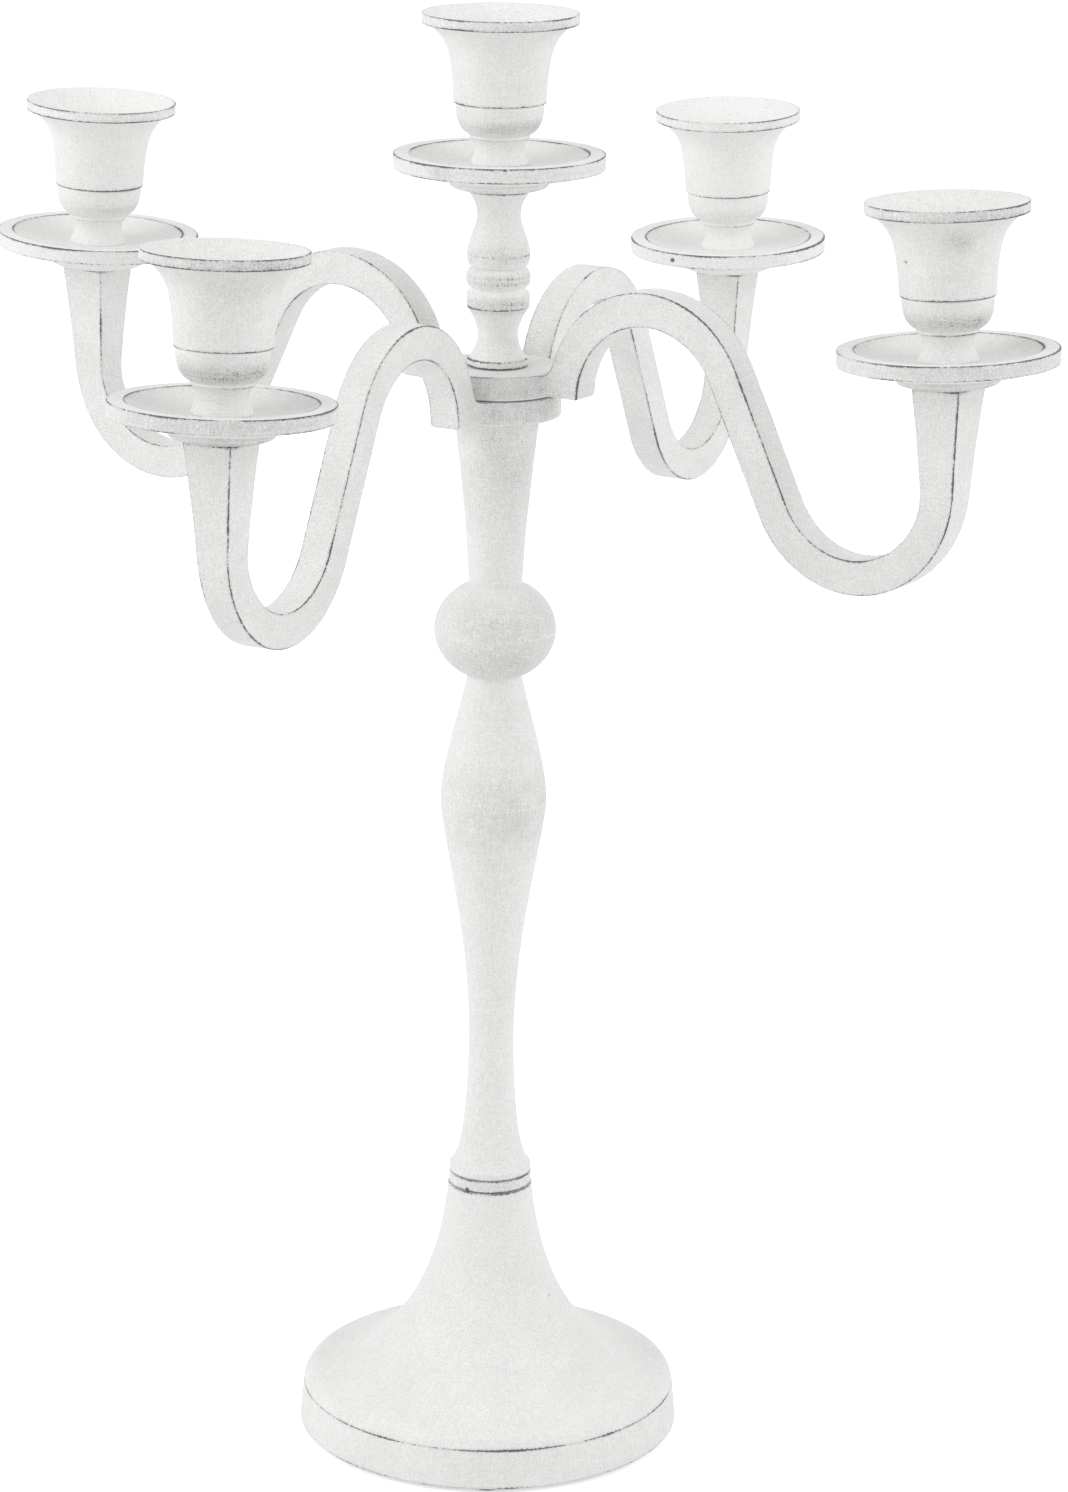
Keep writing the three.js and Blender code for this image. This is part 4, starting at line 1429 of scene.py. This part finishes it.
@dataclass(frozen=True)
class Light:
    """A drip plate, a candle cup and the screw that holds both."""

    plate_radius: float = 28.4
    plate_height: float = 9.7
    plate_edge: float = 3.9
    annulus: float = 4.4
    dish_depth: float = 3.0
    dish_floor_radius: float = 8.6
    boss_foot_radius: float = 8.4
    boss_radius: float = 13.4
    boss_height: float = 1.7
    flare_radius: float = 20.3
    flare_height: float = 2.3
    foot_radius: float = 7.8
    waist_radius: float = 6.6
    waist_height: float = 3.6
    neck_height: float = 3.3
    ring_radius: float = 8.1
    ring_height: float = 0.9
    bulb_radius: float = 11.75
    bulb_height: float = 7.3
    step_height: float = 1.1
    body_radius: float = 12.35
    body_height: float = 21.0
    cup_flare_radius: float = 19.5
    rim_radius: float = 20.95
    rim_height: float = 2.8
    lip: float = 0.7
    bore: float = 11.3  # takes a 22 mm dinner candle
    grip: float = 12.0
    floor: float = 16.6  # the bore's floor above the cup's foot
    screw_radius: float = 2.5
    head_radius: float = 4.5
    head_height: float = 3.0
    head_side: float = 0.55  # of its height, below the crown
    crown_radius: float = 2.6
    slot_half_width: float = 0.45
    slot_draft: float = 0.12  # half of what a slot's wall takes in width
    slot_reach: float = 2.3
    slot_ramp: float = 0.9  # over which a slot runs out
    slot_depth: float = 1.3
    screw_in_seat: float = 9.3
    seat_gap: float = 0.3
    filler: float = 0.28  # of paint that closes the joint between cup and dish
    joint: Wear = Wear.NONE  # of that joint
    cover: float = 0.0  # how much lighter than on the other lights its paint is painted: a painted light on the back and high ones, from 0 to 1

    @property
    def cup_seat(self) -> float:
        """The cup's foot above the plate's underside."""
        return self.plate_height - self.dish_depth + self.seat_gap

    def plate(self) -> Skin:
        """The plate: a stepped boss underneath, a thick rim with a flat annulus, and a shallow dish.

        Returns:
            The skin, standing at the origin.
        """
        outline = Outline(SCREW_BORE, 0, spacing=0.8, girth=20).line(self.boss_foot_radius, 0)
        outline.curve(self.boss_radius, self.boss_height, (0.8, 0.15), (0, 0.4), speckle_and_shade=SpeckleAndShade(0.6, 0.5, 0.9))
        outline.curve(self.flare_radius, self.flare_height, (0.1, 0.4), (0.5, 0.1), speckle_and_shade=SpeckleAndShade(0.2, 0.5, 0.7))
        under = self.plate_height - self.plate_edge - outline.height
        outline.line(self.plate_radius, under, Wear.LIGHT, SpeckleAndShade(0.8, 0.5, 0.2))
        outline.line(self.plate_radius, self.plate_edge, Wear.STRONG, SpeckleAndShade(0.5, 0.5, 0.45))
        outline.line(self.plate_radius - self.annulus, 0, Wear.STRONG)
        outline.curve(self.dish_floor_radius, -self.dish_depth, (0.1, 0.45), (0.5, 0), speckle_and_shade=SpeckleAndShade(0.1, 0.35, 0.4))
        return outline.line(SCREW_BORE, 0).close().turned(columns=176)

    def cup(self) -> Skin:
        """The cup: a waisted neck and ring, a bulb, an undercut, and a flaring body with a rim round the bore.

        Returns:
            The skin, with the top of its filler at the origin.
        """
        outline = Outline(SCREW_BORE, -self.filler, spacing=0.8, girth=13).line(self.foot_radius, 0)
        outline.line(self.foot_radius, self.filler, self.joint)
        outline.curve(self.waist_radius, self.waist_height, (0.3, 0.4), (0, 0.4))
        outline.curve(self.ring_radius, self.neck_height, (0, 0.4), (0.6, 0.15), Wear.FAINT)
        outline.line(self.ring_radius, self.ring_height, speckle_and_shade=SpeckleAndShade(0.5, 1, -1))
        outline.curve(self.bulb_radius, self.bulb_height, (0.55, 0.1), (0, 0.6), speckle_and_shade=SpeckleAndShade(0.45, 0.28, 0.9))
        outline.line(self.bulb_radius, self.step_height, speckle_and_shade=SpeckleAndShade(0.5, 1, -1.5))
        outline.line(self.body_radius, 0, Wear.STRONG)
        outline.curve(
            self.cup_flare_radius, self.body_height, (0.08, 0.73), (0.65, 0.17), speckle_and_shade=SpeckleAndShade(0.7, 0.25, 0.15)
        )
        outline.line(self.rim_radius, 0, Wear.STRONG)
        outline.line(self.rim_radius, self.rim_height, Wear.PLAIN, SpeckleAndShade(0.3, 0.7, 0.65))
        outline.line(self.rim_radius - self.lip, 0)
        outline.curve(self.bore, self.floor + self.grip - outline.height, (0.35, 0.3), (0, 0.4))
        return outline.line(self.bore, -self.grip).line(SCREW_BORE, 0).close().turned(columns=144)

    def screw(self) -> Skin:
        """A pan-head screw with a cross recess.

        The recess lowers the head's top wherever a point lies within half a slot's width of one of two
        crossed lines, less towards their ends.

        Returns:
            The skin, with the seat's surface at the origin.
        """
        length = self.cup_seat + self.floor + self.seat_gap + self.screw_in_seat
        crown = self.head_height * (1 - self.head_side)
        outline = Outline(0, -self.screw_in_seat, spacing=0.16).line(self.screw_radius, 0)
        outline.line(self.screw_radius, length).line(self.head_radius, 0)
        outline.line(self.head_radius, self.head_height * self.head_side)
        screw = outline.curve(self.crown_radius, crown, (0.05, 0.55), (0.6, 0)).line(0, 0).turned(columns=96)
        x, y, z = screw.points.T
        near = np.minimum(np.abs(x), np.abs(y))
        far = np.maximum(np.abs(x), np.abs(y))
        wall = np.clip((self.slot_half_width + self.slot_draft - near) / (2 * self.slot_draft), 0, 1)
        reach = np.clip((self.slot_reach - far) / self.slot_ramp, 0, 1)
        screw.points[:, 2] = z - np.where(z > outline.height - crown, self.slot_depth * wall * reach, 0)
        return screw

    def build(self, workshop: Workshop, place: str) -> None:
        """Builds and dresses one light.

        Args:
            workshop: Where it is dressed.
            place: The last part of its nodes' names.
        """
        seat = joint_frame(f"cup_turn_{place}")
        axis = seat[:3, 3]
        workshop.fit(f"drip_plate_{place}", self.plate().placed(seat).shaded_and_lightened(axis, self.cover))
        workshop.fit(f"candle_cup_{place}", self.cup().placed(seat @ lift(self.cup_seat)).shaded_and_lightened(axis, self.cover))
        workshop.fit(f"cup_screw_{place}", self.screw().placed(seat), Slot.STEEL)


@dataclass(frozen=True)
class Lamp:
    """A round soft lamp.

    Attributes:
        place: Where it stands, in metres.
        power: Its power in watts.
        size: Its width in metres.
    """

    place: tuple[float, float, float]
    power: float
    size: float = 1.4


@dataclass(frozen=True)
class Studio:
    """A white floor and background under plain soft light, and the camera at the photograph's viewpoint."""

    camera_place: tuple[float, float, float] = (0.0, -1274.75, 562.38)  # mm
    lens: float = 116.053
    far: float = 50.0  # metres, past which it sees nothing
    dip: float = 15.883  # degrees below the level
    turn: float = 0.496  # degrees to the side
    roll: float = 0.678  # degrees
    floor_radius: float = 6.0  # metres
    floor_corners: int = 64
    floor_gap: float = 0.05  # mm under the pads
    sky: float = 0.64  # strength of the light that the sky throws on the object
    floor_colour: str = "#f4f4f4"
    floor_glow: float = 0.5

    def camera(self) -> None:
        """Makes the camera, turned about its own right, then the plumb, then its own line of sight."""
        dip, turn, roll = (math.radians(v) for v in (self.dip, self.turn, self.roll))
        level = np.array([[1, 0, 0], [0, 0, -1], [0, 1, 0]])
        nod = np.array([[1, 0, 0], [0, math.cos(dip), -math.sin(dip)], [0, math.sin(dip), math.cos(dip)]])
        sight = turn_about_z(roll)[:3, :3] @ nod @ level @ turn_about_z(turn)[:3, :3]
        matrix = np.eye(4)
        matrix[:3, :3] = (sight * np.array([[1], [-1], [-1]])).T
        matrix[:3, 3] = np.array(self.camera_place) * MM
        data = bpy.data.cameras.new("camera")
        data.lens = self.lens
        data.clip_end = self.far
        camera = put("camera", data)
        camera.matrix_world = mathutils.Matrix(matrix.tolist())
        bpy.context.scene.camera = camera

    def floor(self) -> None:
        """Makes the floor: matt and pale, with a glow that only the camera, gloss and glass see."""
        turn = np.linspace(0, FULL_TURN, self.floor_corners, endpoint=False)
        rim = np.stack([np.cos(turn), np.sin(turn), 0 * turn], axis=1) * self.floor_radius
        rim[:, 2] = -self.floor_gap * MM
        mesh = bpy.data.meshes.new("floor")
        mesh.from_pydata(rim.tolist(), [], [list(range(len(rim)))])
        floor = put("floor", mesh)
        material = blank("white_sweep")
        tree = material.node_tree
        matt = add(tree, "BsdfDiffuse", {"Color": linear(self.floor_colour)})
        strength = add(tree, "Math", {0: seen(tree), 1: self.floor_glow}, operation="MULTIPLY").outputs[0]
        glow = add(tree, "Emission", {"Strength": strength})
        both = add(tree, "AddShader", {0: matt.outputs[0], 1: glow.outputs[0]})
        add(tree, "OutputMaterial", {"Surface": both.outputs[0]})
        mesh.materials.append(material)

    def light(self) -> None:
        """Makes an even white sky and a large soft lamp on each side, the stronger one on the left."""
        world = bpy.data.worlds.new("studio")
        world.use_nodes = True
        bpy.context.scene.world = world
        tree = world.node_tree
        tree.nodes.clear()
        strength = add(tree, "MapRange", {"Value": seen(tree), "To Min": self.sky, "To Max": 1.0}).outputs[0]
        sky = add(tree, "Background", {"Color": (1, 1, 1, 1), "Strength": strength})
        add(tree, "OutputWorld", {"Surface": sky.outputs[0]})
        aim = mathutils.Vector(joint_frame("lower_arms_swivel")[:3, 3] * MM)
        for name, lamp in LAMPS.items():
            data = bpy.data.lights.new(name, "AREA")
            data.shape = "DISK"
            data.size = lamp.size
            data.energy = lamp.power
            place = mathutils.Vector(lamp.place)
            aimed = (place - aim).to_track_quat("Z", "Y")
            put(name, data).matrix_world = mathutils.Matrix.LocRotScale(place, aimed, None)

    def build(self) -> None:
        """Sets the stage."""
        self.camera()
        self.floor()
        self.light()
        bpy.context.scene.view_settings.view_transform = "Standard"


def seen(tree: bpy.types.NodeTree) -> bpy.types.NodeSocket:
    """A socket that is 1 for rays from the camera, gloss or glass, and 0 for the light that falls on the object.

    Args:
        tree: The node tree that it is added to.

    Returns:
        The socket.
    """
    path = add(tree, "LightPath")
    value = path.outputs["Is Camera Ray"]
    for ray in ("Is Glossy Ray", "Is Transmission Ray"):
        value = add(tree, "Math", {0: value, 1: path.outputs[ray]}, operation="MAXIMUM").outputs[0]
    return value


LAMPS = {
    "left": Lamp((-1.6, -0.5, 1.1), 11.5),
    "right": Lamp((1.6, -0.5, 1.1), 9.0),
    "top": Lamp((0.01, 0.0, 2.2), 3.7),
}
# The back lights and the centre are painted lighter by their cover: a painted light.
LIGHTS = {
    "centre": Light(joint=Wear.LIGHT, cover=0.3),
    "front_left": Light(),
    "back_right": Light(cover=0.8),
    "front_right": Light(cover=0.1),
    "back_left": Light(cover=0.6),
}
CHIPS = (
    Spot((-6.4, -9.6, 72.5), 0.65),
    Spot((50.1, 99.0, 317.7), 0.7),
    Spot((-23.3, -16.3, 363.7), 0.5),
    Spot((1.5, -28.4, 363.7), 0.55),
    Spot((17.0, -9.4, 41.0), 0.3),
    Spot((-65.1, -129.6, 310.9), 0.75),
    Spot((101.8, -86.1, 350.8), 0.5),
)
STAINS = (Spot((114.4, -93.6, 357.0), 5.5), Spot((-15.3, -24.0, 361.7), 5.5))


def main() -> None:
    """Builds the stage and every piece of the candelabra."""
    logging.basicConfig(level=logging.INFO, format="%(message)s")
    Studio().build()
    paint = DistressedPaint().made(CHIPS, STAINS)
    workshop = Workshop({Slot.PAINT: paint, Slot.STEEL: ZincSteel().made(), Slot.RUBBER: PadRubber().made()})
    Foot().build(workshop)
    Stem().build(workshop)
    for node, swivel, front in (
        ("lower_cross_arm", "lower_arms_swivel", "cup_turn_front_left"),
        ("upper_cross_arm", "upper_arms_swivel", "cup_turn_front_right"),
    ):
        x, y = joint_frame(front)[:2, 3]
        CrossArm().build(workshop, node, joint_frame(swivel)[2, 3], math.atan2(y, x))
    Finial().build(workshop)
    for place, light in LIGHTS.items():
        light.build(workshop, place)


if __name__ == "__main__":
    main()
